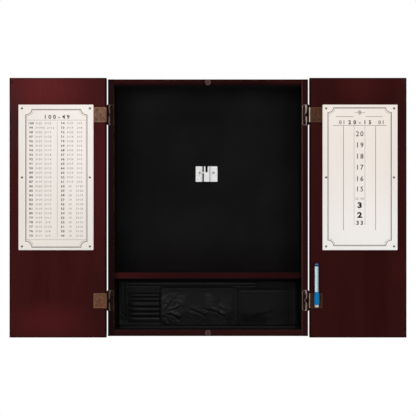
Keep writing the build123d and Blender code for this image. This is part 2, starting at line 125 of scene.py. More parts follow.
def blendTone(mat, share, first, second, mode="MIX"):
    made = addNode(mat, "Mix", data_type="RGBA", blend_type=mode)
    feed(mat, made.inputs[0], share)
    feed(mat, made.inputs[6], first)
    feed(mat, made.inputs[7], second)
    return made.outputs[2]


def axesOf(mat, vector):
    made = addNode(mat, "SeparateXYZ", {0: vector})
    return made.outputs[0], made.outputs[1], made.outputs[2]


def bumpOf(mat, shader, height, strength, distance):
    made = addNode(mat, "Bump", {"Height": height, "Strength": strength, "Distance": distance})
    feed(mat, shader.inputs["Normal"], made.outputs[0])


def clouds(mat, vector, scale, detail, rough=0.55):
    # noise of one size in every direction
    return noise(mat, stretched(mat, vector, (scale, scale, scale)), detail=detail, rough=rough)


def dimmed(mat, tint, share):
    shade = addNode(mat, "CombineColor", {0: share, 1: share, 2: share}).outputs[0]
    return blendTone(mat, 1.0, tint, shade, "MULTIPLY")


def dress(mat, shader, tint, rough, height, strength, depth):
    # colour, roughness and bump of a finish
    feed(mat, shader.inputs["Base Color"], tint)
    feed(mat, shader.inputs["Roughness"], rough)
    bumpOf(mat, shader, height, strength, depth)
    return mat


def baseOf(mat):
    # the colour socket of a finish, and what feeds it
    socket = mat.node_tree.nodes["Principled BSDF"].inputs["Base Color"]
    return socket, socket.links[0].from_socket


def coat(mat, node):
    slots = nodes[node].data.materials
    slots.clear()
    slots.append(mat)


# Stained wood: one finish for each board, because each has its own tone and grain direction; the doors' tones hold
# painted light, the left door lit and the right door shaded

shelfLow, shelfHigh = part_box("shelf")
sideLow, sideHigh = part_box("right_side_panel")
topLow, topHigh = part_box("top_panel")
doorLow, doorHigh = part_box("right_door_panel")

woodLook = {
    # grain along and across the board: broad figure, streaks and pores
    "figure": (1.4, 16), "streaks": (22, 420), "pores": (70, 1500),
    "streakShare": (0.93, 1.07),
    "poreShare": 0.35, "poreTone": linear(14, 4, 4),
    "roughness": (0.34, 0.46), "specular": 0.1,
    "bump": (0.25, 0.15 * mm),
    # painted highlight, with some wear, along the arrises
    "wearAndHighlightTone": linear(112, 72, 71), "arrisSheenFrom": -0.33,
    "arris": 2.2 * mm,
    "fade": (1 * mm, 12 * mm, 0.3),  # from and to, out from the opening, and how dark
    "edgeShadeTone": linear(14, 1, 1),  # painted shade along the eased outer edges
    "edgeShadeWidth": 4.0 * mm, "edgeShadeCore": 0.6,
    "boxEdgeShade": 0.85, "hingeEdgeShade": 0.85, "freeEdgeShade": 0.45, "endEdgeShade": 0.6,
    "freeEdge": 1.2 * mm, "freeLighter": 0.3,
}
paintLook = {
    "innerX": sideLow.x, "innerZ": topLow.z,  # the box is black inside of these
    "boxY": sideLow.y, "shelfY": shelfLow.y,
    "starts": (0.7 * mm, 1.0 * mm),  # behind the front edge
    "over": 0.3 * mm,
    "tones": ((12, 10, 11), (20, 16, 17)),
    "roughness": 0.15,
    "sheenReach": (0.241, 0.248), "paintedSheenTone": linear(36, 37, 37),
}
shelfLook = {
    # from and to, and the shares of light there
    "left": (-0.25, 0.0, 1.08, 0.69), "right": (0.05, 0.25, 1.0, 0.77),
    "arris": (1.4 * mm, 0.7 * mm, 0.4),
}

woodTones = {
    # painted light and shade: patches painted lighter or darker as the light falls on the board: x, z, reach across
    # and up, tone, share
    "left_door_panel": {"dark": (57, 16, 16), "light": (63, 19, 19), "grain": "z", "paintedPatches": (
        (-0.445, 0.325, 0.105, 0.075, (92, 31, 33), 0.95), (-0.440, -0.310, 0.090, 0.045, (80, 24, 26), 0.75),
        (-0.285, 0.110, 0.030, 0.170, (76, 23, 25), 0.6), (-0.290, -0.250, 0.040, 0.100, (46, 16, 15), 0.6),
        (-0.530, 0.230, 0.030, 0.090, (60, 34, 34), 0.6))},
    "right_door_panel": {"dark": (46, 11, 10), "light": (52, 14, 13), "grain": "z", "paintedPatches": (
        (0.405, 0.335, 0.070, 0.050, (60, 16, 15), 0.9), (0.525, 0.215, 0.020, 0.070, (42, 11, 10), 0.6),
        (0.325, 0.320, 0.030, 0.050, (42, 12, 11), 0.6), (0.520, -0.165, 0.025, 0.050, (58, 17, 16), 0.6))},
    # the arris along the opening carries a painted highlight, with some wear, this strong on each box board
    "left_side_panel": {"dark": (24, 9, 8), "light": (32, 12, 11), "grain": "z", "black": True, "arrisSheenAndWear": 0.3},
    "right_side_panel": {"dark": (34, 10, 10), "light": (44, 14, 14), "grain": "z", "black": True, "arrisSheenAndWear": 1.0,
                         "even": 0.9, "lowShare": 0.55},
    "top_panel": {"dark": (32, 9, 8), "light": (42, 12, 11), "grain": "x", "black": True, "arrisSheenAndWear": 0.0,
                  "paintedPatches": ((-0.180, 0.345, 0.095, 0.030, (49, 13, 12), 0.9),
                            (0.215, 0.345, 0.050, 0.030, (49, 13, 12), 0.9)),
                  # painted light: the black under the top board is painted paler than the other boards' black
                  "fade": True, "inside": ((27, 26, 26), (34, 33, 33))},
    "bottom_panel": {"dark": (38, 12, 11), "light": (48, 15, 14), "grain": "x", "black": True, "arrisSheenAndWear": 0.1,
                     # painted reflection of the pouch, from and to behind the front, in mm
                     "sheenAndWear": (-46, -40)},
    "shelf": {"dark": (44, 12, 14), "light": (60, 17, 20), "grain": "x", "shelf": True},
}


def edgeShare(mat, distance, edge):
    # 1 along an outer edge, 0 further in
    width = woodLook["edgeShadeWidth"]
    return between(mat, distance, edge - width, edge - woodLook["edgeShadeCore"] * width)


def alongGrain(mat, place, grain, scales):
    along, across = scales
    return stretched(mat, place, (along, across, across) if grain == "x" else (across, across, along))


def thinnedStain(mat, tint, paintedPatches, x, z, broad):
    # painted light and shade: each patch mixes a lighter or darker tone into the stain
    for glowX, glowZ, reachX, reachZ, glowTone, share in paintedPatches:
        across = calc(mat, "DIVIDE", calc(mat, "SUBTRACT", x, glowX), reachX)
        up = calc(mat, "DIVIDE", calc(mat, "SUBTRACT", z, glowZ), reachZ)
        away = addNode(mat, "CombineXYZ", {0: across, 1: up}).outputs[0]
        distance = addNode(mat, "VectorMath", {0: away}, operation="LENGTH").outputs["Value"]
        distance = calc(mat, "ADD", distance, calc(mat, "MULTIPLY", calc(mat, "SUBTRACT", broad, 0.5), 0.12))
        tint = blendTone(mat, between(mat, distance, 0.1, 1.7, share, 0.0), tint, linear(*glowTone))
    return tint


def boxEdges(mat, tint, tone, reach, rise, z, chips):
    # a painted highlight, with some wear, along the arris of the opening, and painted shade along the outer edges
    look = woodLook
    innerX, innerZ = paintLook["innerX"], paintLook["innerZ"]
    nearX = between(mat, reach, innerX, innerX + look["arris"], 1.0, 0.0)
    nearZ = between(mat, rise, innerZ, innerZ + look["arris"], 1.0, 0.0)
    near = nearZ if tone["grain"] == "x" else nearX
    sheenAndWear = calc(mat, "MULTIPLY", near, calc(mat, "MAXIMUM", chips, tone.get("even", 0.0)))
    sheenAndWear = calc(mat, "MULTIPLY", sheenAndWear, between(mat, z, look["arrisSheenFrom"], 0.0, tone.get("lowShare", 1.0), 1.0))
    if "fade" in tone:
        start, end, share = look["fade"]
        tint = dimmed(mat, tint, between(mat, rise, innerZ + start, innerZ + end, share, 1.0))
    tint = blendTone(mat, calc(mat, "MULTIPLY", sheenAndWear, tone["arrisSheenAndWear"]), tint, look["wearAndHighlightTone"])
    edgeShade = calc(mat, "MAXIMUM", edgeShare(mat, reach, sideHigh.x), edgeShare(mat, rise, topHigh.z))
    return blendTone(mat, calc(mat, "MULTIPLY", edgeShade, look["boxEdgeShade"]), tint, look["edgeShadeTone"])


def shelfShade(mat, tint, x, z):
    across = between(mat, x, *shelfLook["left"])
    fall = between(mat, x, *shelfLook["right"])
    start, end, share = shelfLook["arris"]
    arris = between(mat, z, shelfHigh.z - start, shelfHigh.z - end, 1.0, share)
    return dimmed(mat, tint, calc(mat, "MULTIPLY", calc(mat, "MULTIPLY", across, fall), arris))


def doorEdges(mat, tint, reach, rise, chips):
    # painted shade along the door's arrises, most of all beside the hinges, and the free edge a little lighter
    look = woodLook
    width = look["edgeShadeWidth"]
    inner = between(mat, reach, doorLow.x + look["edgeShadeCore"] * width, doorLow.x + width, look["hingeEdgeShade"], 0.0)
    outer = calc(mat, "MULTIPLY", edgeShare(mat, reach, doorHigh.x), look["freeEdgeShade"])
    ends = calc(mat, "MULTIPLY", edgeShare(mat, rise, doorHigh.z), look["endEdgeShade"])
    edgeShade = calc(mat, "MAXIMUM", calc(mat, "MAXIMUM", inner, outer), ends)
    tint = blendTone(mat, edgeShade, tint, look["edgeShadeTone"])
    sheenAndWear = calc(mat, "MULTIPLY", between(mat, reach, doorHigh.x - look["freeEdge"], doorHigh.x), chips)
    return blendTone(mat, calc(mat, "MULTIPLY", sheenAndWear, look["freeLighter"]), tint, look["wearAndHighlightTone"])


def paintInside(mat, tint, gloss, tone, y, reach, rise, slow):
    # black paint on every face inside the box
    look = paintLook
    edgeY = look["boxY"] if "black" in tone else look["shelfY"]
    start, end = look["starts"]
    behind = between(mat, y, edgeY + start, edgeY + end)
    if "black" in tone:
        withinX = calc(mat, "LESS_THAN", reach, look["innerX"] + look["over"])
        withinZ = calc(mat, "LESS_THAN", rise, look["innerZ"] + look["over"])
        behind = calc(mat, "MULTIPLY", behind, calc(mat, "MULTIPLY", withinX, withinZ))
    first, second = tone.get("inside", look["tones"])
    paintTone = blendTone(mat, noise(mat, slow, scale=3.0), linear(*first), linear(*second))
    if "sheenAndWear" in tone:
        # painted reflection: the black is painted grey near the back, where the pouch shows in the satin paint
        near, far = tone["sheenAndWear"]
        along = between(mat, reach, *look["sheenReach"], 1.0, 0.0)
        sheenAndWear = calc(mat, "MULTIPLY", along, between(mat, y, near * mm, far * mm))
        paintTone = blendTone(mat, sheenAndWear, paintTone, look["paintedSheenTone"])
    tint = blendTone(mat, behind, tint, paintTone)
    return tint, calc(mat, "ADD", gloss, calc(mat, "MULTIPLY", behind, look["roughness"]))


def stainedWood(node, tone):
    look = woodLook
    mat, shader = newFinish("stainedWood_" + node, specular=look["specular"])
    place = placeIn(mat)
    x, y, z = axesOf(mat, place)
    slow, fast, fine = [alongGrain(mat, place, tone["grain"], look[part]) for part in ("figure", "streaks", "pores")]
    broad = between(mat, noise(mat, slow, detail=2.0, distortion=0.4), 0.3, 0.7)
    streaks = noise(mat, fast, detail=3.0)
    pores = between(mat, noise(mat, fine, detail=2.0), 0.62, 0.74)
    tint = blendTone(mat, broad, linear(*tone["dark"]), linear(*tone["light"]))
    tint = thinnedStain(mat, tint, tone.get("paintedPatches", ()), x, z, broad)
    tint = dimmed(mat, tint, between(mat, streaks, 0.25, 0.75, *look["streakShare"]))
    tint = blendTone(mat, calc(mat, "MULTIPLY", pores, look["poreShare"]), tint, look["poreTone"])
    gloss = between(mat, broad, 0.0, 1.0, *look["roughness"])
    reach = calc(mat, "ABSOLUTE", x)
    rise = calc(mat, "ABSOLUTE", z)
    chips = between(mat, clouds(mat, place, 60, 4.0), 0.42, 0.62)
    if "black" in tone:
        tint = boxEdges(mat, tint, tone, reach, rise, z, chips)
    elif "shelf" in tone:
        tint = shelfShade(mat, tint, x, z)
    else:
        tint = doorEdges(mat, tint, reach, rise, chips)
    if "black" in tone or "shelf" in tone:
        tint, gloss = paintInside(mat, tint, gloss, tone, y, reach, rise, slow)
    height = calc(mat, "SUBTRACT", calc(mat, "MULTIPLY", streaks, 0.5), calc(mat, "MULTIPLY", pores, 0.6))
    return dress(mat, shader, tint, gloss, height, *look["bump"])


for node, tone in woodTones.items():
    coat(stainedWood(node, tone), node)
print("stage: wood done")


# Back panel: thin board painted matte black, with painted light towards the top and a painted reddish reflection of
# the stained wood lower down

backLook = {
    "dark": (14, 14, 14), "light": (20, 19, 19), "reddishReflectionTone": (14, 9, 10), "lowShare": 0.6,
    # from and to in height, and the shares there: painted light near the top, a painted reddish reflection lower
    # down
    "upper": (0.24, 0.33, 1.0, 2.0), "lower": (-0.19, -0.05, 1.0, 0.0),
    "roughness": (0.55, 0.7),
    "fibres": (900, 900, 120), "bump": (0.2, 0.1 * mm),
}


def blackBack():
    look = backLook
    mat, shader = newFinish("blackBackBoard", specular=0.12)
    place = placeIn(mat)
    z = axesOf(mat, place)[2]
    cloudy = clouds(mat, place, 5, 4.0)
    fibres = noise(mat, stretched(mat, place, look["fibres"]), detail=2.0)
    tint = blendTone(mat, between(mat, cloudy, 0.35, 0.65), linear(*look["dark"]), linear(*look["light"]))
    # painted light towards the top, and a painted reddish reflection lower down
    tint = dimmed(mat, tint, between(mat, z, *look["upper"]))
    low = between(mat, z, *look["lower"])
    tint = blendTone(mat, calc(mat, "MULTIPLY", low, look["lowShare"]), tint, linear(*look["reddishReflectionTone"]))
    return dress(mat, shader, tint, between(mat, cloudy, 0.3, 0.7, *look["roughness"]), fibres, *look["bump"])


coat(blackBack(), "back_panel")


# Antique copper of the hinges: a dark patina, with painted highlights along the rims and on the knuckles, and
# painted shade on the barrels

pinLow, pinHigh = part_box("right_upper_hinge_pin")
frameLeafLow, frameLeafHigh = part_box("right_upper_frame_leaf")
doorLeafLow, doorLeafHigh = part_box("right_upper_door_leaf")

copperLook = {
    "axisX": (pinLow.x + pinHigh.x) / 2,
    "middleZ": (pinLow.z + pinHigh.z) / 2,
    "patinaAndShadeTone": linear(14, 5, 2),
    "metallic": 0.5,
    "specular": 0.35,
    "plateRough": (0.58, 0.42),
    "bump": (0.25, 0.1 * mm),
    "contrast": (0.7, 1.3),
    "mottle": 300, "patches": (110, 110, 70), "scratches": (260, 260, 70),
    "sideRim": 1.8 * mm,
    "streaks": (0.76, 1.22),
    "cornerReach": (12 * mm, 7 * mm),  # the rim's painted highlight is brighter over this much of each end
    "plateRim": 2.3 * mm, "endRim": 2.4 * mm, "rimFull": 1.2 * mm,
    "bandSoft": 0.45, "wander": 0.7 * mm,
    "waist": (2.2 * mm, 4.0 * mm),  # the painted highlight line swings in round the middle knuckle
    "lineStart": (3 * mm, 9 * mm, 0.8), "bendStart": (3 * mm, 8 * mm, 0.75),
}

# the left hinges are lit copies and the right ones shaded copies; rim, cream and bendTone are painted highlights;
# line, dark and bend are bands out from the hinge axis, in mm: the line a painted highlight, the dark band painted
# shade
copperTones = {
    "left_upper": {"plate": (147, 108, 88), "rim": (178, 142, 120), "cream": (146, 117, 106), "field": (38, 9, 7),
                   "bendTone": (104, 80, 66), "line": (-4.8, -1.6), "dark": (-1.1, 3.8), "bend": (4.0, 5.8),
                   "side": 0.18, "corner": 0.46},
    "left_lower": {"plate": (135, 91, 66), "rim": (162, 122, 96), "cream": (136, 109, 98), "field": (34, 9, 7),
                   "bendTone": (116, 88, 74), "line": (-5.4, -2.4), "dark": (-1.9, 3.4), "bend": (3.7, 5.6),
                   "side": 0.22, "corner": 0.5},
    "right_upper": {"plate": (97, 63, 46), "rim": (112, 78, 60), "cream": (252, 226, 216), "field": (42, 7, 7),
                    "bendTone": (252, 230, 218), "line": (-5.6, -3.0), "dark": (-2.4, 2.9), "bend": (3.4, 5.8),
                    "side": 0.34, "corner": 0.62},
    "right_lower": {"plate": (80, 46, 30), "rim": (108, 80, 62), "cream": (232, 200, 188), "field": (42, 9, 8),
                    "bendTone": (206, 170, 150), "line": (-5.6, -3.0), "dark": (-2.4, 2.7), "bend": (3.2, 5.5),
                    "side": 0.34, "corner": 0.62},
}


def shades(tone, low, high):
    whole = linear(*tone)
    return [tuple(factor * v for v in whole[:3]) + (1.0,) for factor in (low, high)]


def copperParts(mat):
    # distance out from the hinge axis, and up or down from the hinge's middle
    place = placeIn(mat)
    x, _, z = axesOf(mat, place)
    out = calc(mat, "SUBTRACT", calc(mat, "ABSOLUTE", x), copperLook["axisX"])
    along = calc(mat, "ABSOLUTE", calc(mat, "SUBTRACT", calc(mat, "ABSOLUTE", z), copperLook["middleZ"]))
    mottle = clouds(mat, place, copperLook["mottle"], 5.0, 0.6)
    patch = noise(mat, stretched(mat, place, copperLook["patches"]), detail=3.0)
    return out, along, mottle, patch


def band(mat, value, low, high, soft):
    # 1 from low to high in mm, 0 outside
    inside = between(mat, value, (low - soft) * mm, (low + soft) * mm)
    return calc(mat, "MULTIPLY", inside, between(mat, value, (high - soft) * mm, (high + soft) * mm, 1.0, 0.0))


def barrelTone(mat, tint, out, along, patch, tones):
    # painted shade over the dark patina of the barrel, and a painted highlight in a line beside it
    look = copperLook
    swing, reach = look["waist"]
    moved = calc(mat, "ADD", out, between(mat, along, 0.4 * reach, 1.6 * reach, swing, 0.0))
    moved = calc(mat, "ADD", moved, between(mat, patch, 0.3, 0.7, -look["wander"], look["wander"]))
    cream = linear(*tones["cream"])
    sheenAndWear = band(mat, moved, *tones["line"], look["bandSoft"])
    sheenAndWear = calc(mat, "MULTIPLY", sheenAndWear, between(mat, patch, 0.3, 0.52, 0.6, 1.0))
    start, end, share = look["lineStart"]
    tint = blendTone(mat, calc(mat, "MULTIPLY", sheenAndWear, between(mat, along, start, end, share, 1.0)), tint, cream)
    low, high = tones["dark"]
    dark = calc(mat, "MULTIPLY", between(mat, moved, (low - 0.5) * mm, (low + 0.5) * mm),
                between(mat, out, (high - 0.5) * mm, (high + 0.5) * mm, 1.0, 0.0))
    return blendTone(mat, dark, tint, look["patinaAndShadeTone"])


def startCopper(name):
    return newFinish(name, metallic=copperLook["metallic"], specular=copperLook["specular"])


def finishCopper(mat, shader, tint, mottle):
    rough = between(mat, mottle, 0.3, 0.7, *copperLook["plateRough"])
    return dress(mat, shader, tint, rough, mottle, *copperLook["bump"])


def doorLeafFinish(hinge, tones):
    look = copperLook
    mat, shader = startCopper("doorLeafCopper_" + hinge)
    out, along, mottle, patch = copperParts(mat)
    reach = doorLeafHigh.x - look["axisX"]
    half = (doorLeafHigh.z - doorLeafLow.z) / 2
    tint = blendTone(mat, between(mat, mottle, 0.36, 0.64), *shades(tones["plate"], *look["contrast"]))
    streaks = noise(mat, stretched(mat, placeIn(mat), look["scratches"]), detail=3.0)
    tint = dimmed(mat, tint, between(mat, streaks, 0.38, 0.62, *look["streaks"]))
    # painted highlights on the leaf's rim and on its bend out of the barrel
    edge = calc(mat, "MAXIMUM", between(mat, out, reach - look["plateRim"], reach - look["rimFull"]),
                between(mat, along, half - look["plateRim"], half - look["rimFull"]))
    edge = calc(mat, "MULTIPLY", edge, between(mat, patch, 0.34, 0.56, 0.4, 1.0))
    tint = blendTone(mat, edge, tint, linear(*tones["rim"]))
    tint = blendTone(mat, calc(mat, "LESS_THAN", out, 0.0), tint, linear(*tones["field"]))
    bend = band(mat, out, *tones["bend"], look["bandSoft"])
    bend = calc(mat, "MULTIPLY", bend, between(mat, patch, 0.3, 0.5, 0.8, 1.0))
    start, end, share = look["bendStart"]
    bend = calc(mat, "MULTIPLY", bend, between(mat, along, start, end, share, 1.0))
    tint = blendTone(mat, bend, tint, linear(*tones["bendTone"]))
    tint = barrelTone(mat, tint, out, along, patch, tones)
    return finishCopper(mat, shader, tint, mottle)


def frameLeafFinish(hinge, tones):
    look = copperLook
    mat, shader = startCopper("frameLeafCopper_" + hinge)
    out, along, mottle, patch = copperParts(mat)
    inner = frameLeafLow.x - look["axisX"]
    half = (frameLeafHigh.z - frameLeafLow.z) / 2
    tint = blendTone(mat, between(mat, mottle, 0.3, 0.7), *shades(tones["field"], *look["contrast"]))
    # painted highlight along the rim, brightest at the corners
    ends = between(mat, along, half - look["cornerReach"][0], half - look["cornerReach"][1])
    side = between(mat, out, inner + 0.5 * look["sideRim"], inner + look["sideRim"], 1.0, 0.0)
    corner = calc(mat, "MULTIPLY", calc(mat, "MULTIPLY", side, ends), tones["corner"])
    endRim = between(mat, along, half - look["endRim"], half - look["rimFull"])
    endRim = calc(mat, "MULTIPLY", endRim, 0.5 * tones["corner"])
    rim = calc(mat, "MAXIMUM", calc(mat, "MULTIPLY", side, tones["side"]), calc(mat, "MAXIMUM", corner, endRim))
    rim = calc(mat, "MULTIPLY", rim, between(mat, patch, 0.3, 0.5, 0.7, 1.0))
    tint = blendTone(mat, rim, tint, linear(*tones["cream"]))
    tint = barrelTone(mat, tint, out, along, patch, tones)
    return finishCopper(mat, shader, tint, mottle)


for hinge, tones in copperTones.items():
    coat(doorLeafFinish(hinge, tones), hinge + "_door_leaf")
    coat(frameLeafFinish(hinge, tones), hinge + "_frame_leaf")
    coat(frameLeafFinish(hinge + "_pin", tones), hinge + "_hinge_pin")


# Plated steel of the bracket and the catches

def platedSteel(name, dark, light, metallic, rough, scale):
    mat, shader = newFinish(name, metallic=metallic, specular=0.5)
    place = placeIn(mat)
    cloudy = clouds(mat, place, scale, 5.0, 0.6)
    brushed = noise(mat, stretched(mat, place, (90, 90, 2600)), detail=2.0)
    tint = blendTone(mat, between(mat, cloudy, 0.32, 0.68), linear(*dark), linear(*light))
    return dress(mat, shader, tint, between(mat, cloudy, 0.3, 0.7, *rough), brushed, 0.12, 0.05 * mm)


zincLook = {
    # painted shade in the bends: from, to and soft edge in mm out from the middle, how strong, and the tone
    "leftBend": (-11.8, -7.3, 0.3), "leftBendShadeShare": 0.97, "leftBendShadeTone": linear(12, 12, 12),
    "rightBend": (7.3, 8.9, 0.4), "rightBendShadeShare": 0.5, "rightBendShadeTone": linear(110, 110, 112),
    "gusset": (1.6 * mm, 2.6 * mm),  # the left bend stays bright across the gusset
}


def bentZinc():
    # painted shade in the bends: nearly black in the left one and grey in the right one
    look = zincLook
    mat = platedSteel("zincPlate", (233, 233, 234), (247, 247, 245), 0.1, (0.38, 0.55), 160)
    low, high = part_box("dartboard_bracket")
    screwsLow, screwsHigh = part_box("bracket_screws")
    x, _, z = axesOf(mat, placeIn(mat))
    out = calc(mat, "SUBTRACT", x, (low.x + high.x) / 2)
    level = calc(mat, "ABSOLUTE", calc(mat, "SUBTRACT", z, (screwsLow.z + screwsHigh.z) / 2))
    socket, tint = baseOf(mat)
    left = calc(mat, "MULTIPLY", band(mat, out, *look["leftBend"]), between(mat, level, *look["gusset"]))
    tint = blendTone(mat, calc(mat, "MULTIPLY", left, look["leftBendShadeShare"]), tint, look["leftBendShadeTone"])
    right = calc(mat, "MULTIPLY", band(mat, out, *look["rightBend"]), look["rightBendShadeShare"])
    feed(mat, socket, blendTone(mat, right, tint, look["rightBendShadeTone"]))
    return mat


zincScrew = platedSteel("zincScrew", (176, 176, 174), (208, 208, 205), 0.2, (0.35, 0.5), 500)
catchPlate = platedSteel("catchPlate", (76, 58, 57), (104, 80, 79), 0.4, (0.35, 0.5), 300)
catchScrew = platedSteel("catchScrew", (78, 44, 42), (108, 68, 64), 0.4, (0.3, 0.45), 500)
boardScrew = platedSteel("boardScrew", (138, 124, 113), (186, 172, 157), 0.7, (0.28, 0.42), 500)
# lit and shaded copies of one copper: the screws in the lit left leaves are painted lighter, those in the shaded
# right leaves darker
screwCopper = {
    "left": platedSteel("screwCopperLit", (124, 92, 74), (146, 110, 90), 0.6, (0.35, 0.5), 500),
    "right": platedSteel("screwCopperShaded", (70, 46, 35), (96, 66, 50), 0.6, (0.35, 0.5), 500),
    "frame": platedSteel("screwCopperDark", (38, 15, 12), (66, 40, 34), 0.6, (0.35, 0.5), 500),
}
coat(bentZinc(), "dartboard_bracket")
coat(catchPlate, "top_catch")
coat(catchPlate, "bottom_catch")

# Strikes are stained over with the door; magnets are dull ferrite

def stainedStrike():
    mat, shader = newFinish("stainedStrike", specular=0.2)
    cloudy = clouds(mat, placeIn(mat), 150, 4.0)
    tint = blendTone(mat, between(mat, cloudy, 0.3, 0.7), linear(46, 15, 15), linear(58, 20, 20))
    return dress(mat, shader, tint, between(mat, cloudy, 0.3, 0.7, 0.38, 0.5), cloudy, 0.15, 0.1 * mm)


strikeFinish = stainedStrike()
coat(strikeFinish, "left_door_strikes")
coat(strikeFinish, "right_door_strikes")
coat(platedSteel("magnetPlate", (36, 36, 38), (58, 58, 60), 0.2, (0.55, 0.7), 400), "marker_magnet")


# White laminate of the score boards, with faint wiping marks and painted light

laminateTones = {
    # painted light: tone at the left, at the right, and towards the lower end
    "left": ((241, 233, 226), (249, 240, 235), (243, 236, 228)),
    "right": ((242, 233, 225), (241, 231, 222), (248, 244, 240)),
}


def whiteLaminate(name, tones, low, high):
    mat, shader = newFinish(name, specular=0.3)
    place = placeIn(mat)
    x, _, z = axesOf(mat, place)
    smear = noise(mat, stretched(mat, place, (9, 9, 3), (0, 0.5, 0)), detail=5.0, rough=0.6)
    specks = clouds(mat, place, 700, 2.0)
    left, right, lower = [linear(*tone) for tone in tones]
    # painted light across the board and towards its lower end
    tint = blendTone(mat, between(mat, x, low.x, high.x), left, right)
    fall = between(mat, z, low.z, high.z - 0.1, 1.0, 0.0)
    tint = blendTone(mat, fall, tint, lower)
    tint = dimmed(mat, tint, between(mat, smear, 0.3, 0.75, 1.0, 0.965))
    return dress(mat, shader, tint, between(mat, smear, 0.3, 0.7, 0.3, 0.42), specks, 0.04, 0.05 * mm)


for side, tones in laminateTones.items():
    board = side + "_score_board"
    coat(whiteLaminate("whiteLaminate_" + side, tones, *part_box(board)), board)


def printedInk(name, tone, shade):
    mat, shader = newFinish(name, specular=0.2)
    cloudy = clouds(mat, placeIn(mat), 800, 3.0)
    tint = blendTone(mat, between(mat, cloudy, 0.35, 0.65), linear(*tone), linear(*shade))
    return dress(mat, shader, tint, between(mat, cloudy, 0.3, 0.7, 0.5, 0.65), cloudy, 0.05, 0.02 * mm)


inkDark = printedInk("inkDark", (30, 25, 24), (50, 42, 39))
inkPale = printedInk("inkPale", (82, 74, 70), (104, 95, 90))


# Moulded plastics and felt of the marker

def mouldedPlastic(name, tone, shade, rough, specular=0.45):
    mat, shader = newFinish(name, specular=specular)
    place = placeIn(mat)
    cloudy = noise(mat, stretched(mat, place, (120, 120, 60)), detail=4.0)
    fine = clouds(mat, place, 2500, 1.0)
    tint = blendTone(mat, between(mat, cloudy, 0.3, 0.7), linear(*tone), linear(*shade))
    return dress(mat, shader, tint, between(mat, cloudy, 0.3, 0.7, *rough), fine, 0.06, 0.03 * mm)


def feltFinish(name, tone, shade):
    mat, shader = newFinish(name, specular=0.1, sheen=0.25, sheenRoughness=0.5)
    hairs = clouds(mat, placeIn(mat), 1400, 4.0, 0.7)
    tint = blendTone(mat, between(mat, hairs, 0.3, 0.7), linear(*shade), linear(*tone))
    return dress(mat, shader, tint, between(mat, hairs, 0.3, 0.7, 0.85, 0.98), hairs, 0.6, 0.25 * mm)


barrelShade = (-5 * mm, 5.5 * mm, 1.4, 0.45)  # from and to across the barrel, and the shares of light there


def palePlastic():
    # painted light and shade: the translucent barrel is painted brighter along its left side and darker along its
    # right
    mat = mouldedPlastic("markerBarrelPale", (198, 220, 230), (190, 214, 226), (0.25, 0.38))
    low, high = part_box("marker_barrel")
    out = calc(mat, "SUBTRACT", axesOf(mat, placeIn(mat))[0], (low.x + high.x) / 2)
    socket, tint = baseOf(mat)
    feed(mat, socket, dimmed(mat, tint, between(mat, out, *barrelShade)))
    return mat


capBlue = mouldedPlastic("markerCapBlue", (2, 112, 168), (6, 119, 176), (0.3, 0.42), 0.2)
plugBlue = mouldedPlastic("markerPlugBlue", (22, 50, 96), (34, 66, 118), (0.3, 0.42))
coat(palePlastic(), "marker_barrel")
coat(feltFinish("inkFelt", (26, 60, 120), (14, 36, 80)), "marker_nib")
whiteFelt = feltFinish("whiteFelt", (222, 211, 207), (192, 182, 178))
print("stage: metals, plastics and laminate done")


# Mesh helpers

def asPiece(mesh, name, mat, smooth=True):
    mesh.materials.append(mat)
    for face in mesh.polygons:
        face.use_smooth = smooth
    piece = bpy.data.objects.new(name, mesh)
    bpy.context.scene.collection.objects.link(piece)
    return piece


def newPiece(name, verts, faces, mat):
    mesh = bpy.data.meshes.new(name)
    mesh.from_pydata([tuple(v) for v in verts], [], faces)
    mesh.validate()
    return asPiece(mesh, name, mat)


def pieceFrom(bm, name, mat, smooth=True):
    mesh = bpy.data.meshes.new(name)
    bm.to_mesh(mesh)
    bm.free()
    return asPiece(mesh, name, mat, smooth)


def meshOf(thing):
    # the mesh that an object shows, with its modifiers or its curve worked out
    bpy.context.view_layer.update()
    graph = bpy.context.evaluated_depsgraph_get()
    return bpy.data.meshes.new_from_object(thing.evaluated_get(graph))


def settle(piece):
    # the piece's modifiers become its mesh
    mesh = meshOf(piece)
    piece.modifiers.clear()
    piece.data = mesh
    return piece


def thickened(piece, wall):
    # an even wall behind the sheet
    thick = piece.modifiers.new("wall", "SOLIDIFY")
    thick.thickness = wall * mm
    thick.offset = -1
    return settle(piece)


def spun(bm, path, middle, axis, count):
    # the path is turned once round the axis
    ring = [bm.verts.new(point) for point in path]
    edges = [bm.edges.new(pair) for pair in zip(ring, ring[1:])]
    bmesh.ops.spin(bm, geom=ring + edges, cent=middle, axis=axis, angle=math.tau, steps=count)


def merged(bm, reach):
    bmesh.ops.remove_doubles(bm, verts=bm.verts, dist=reach)
    bmesh.ops.recalc_face_normals(bm, faces=bm.faces)


# Screws: turned head, cross recess, each one stopped at its own angle

screwSizes = {
    "seed": 11,
    "steps": 40,
    "recessWidth": 0.95,
    "recessTaper": 0.62,
    "recessPoint": 0.45,  # share of its reach at the bottom
    "recessOver": 1.5,  # the cutter stands this far out of the head
    "apart": 8.5 * mm,  # screws of a group are further apart than this
    "merge": 0.004 * mm, "sliver": 0.01 * mm,
    "sharp": 35,
}
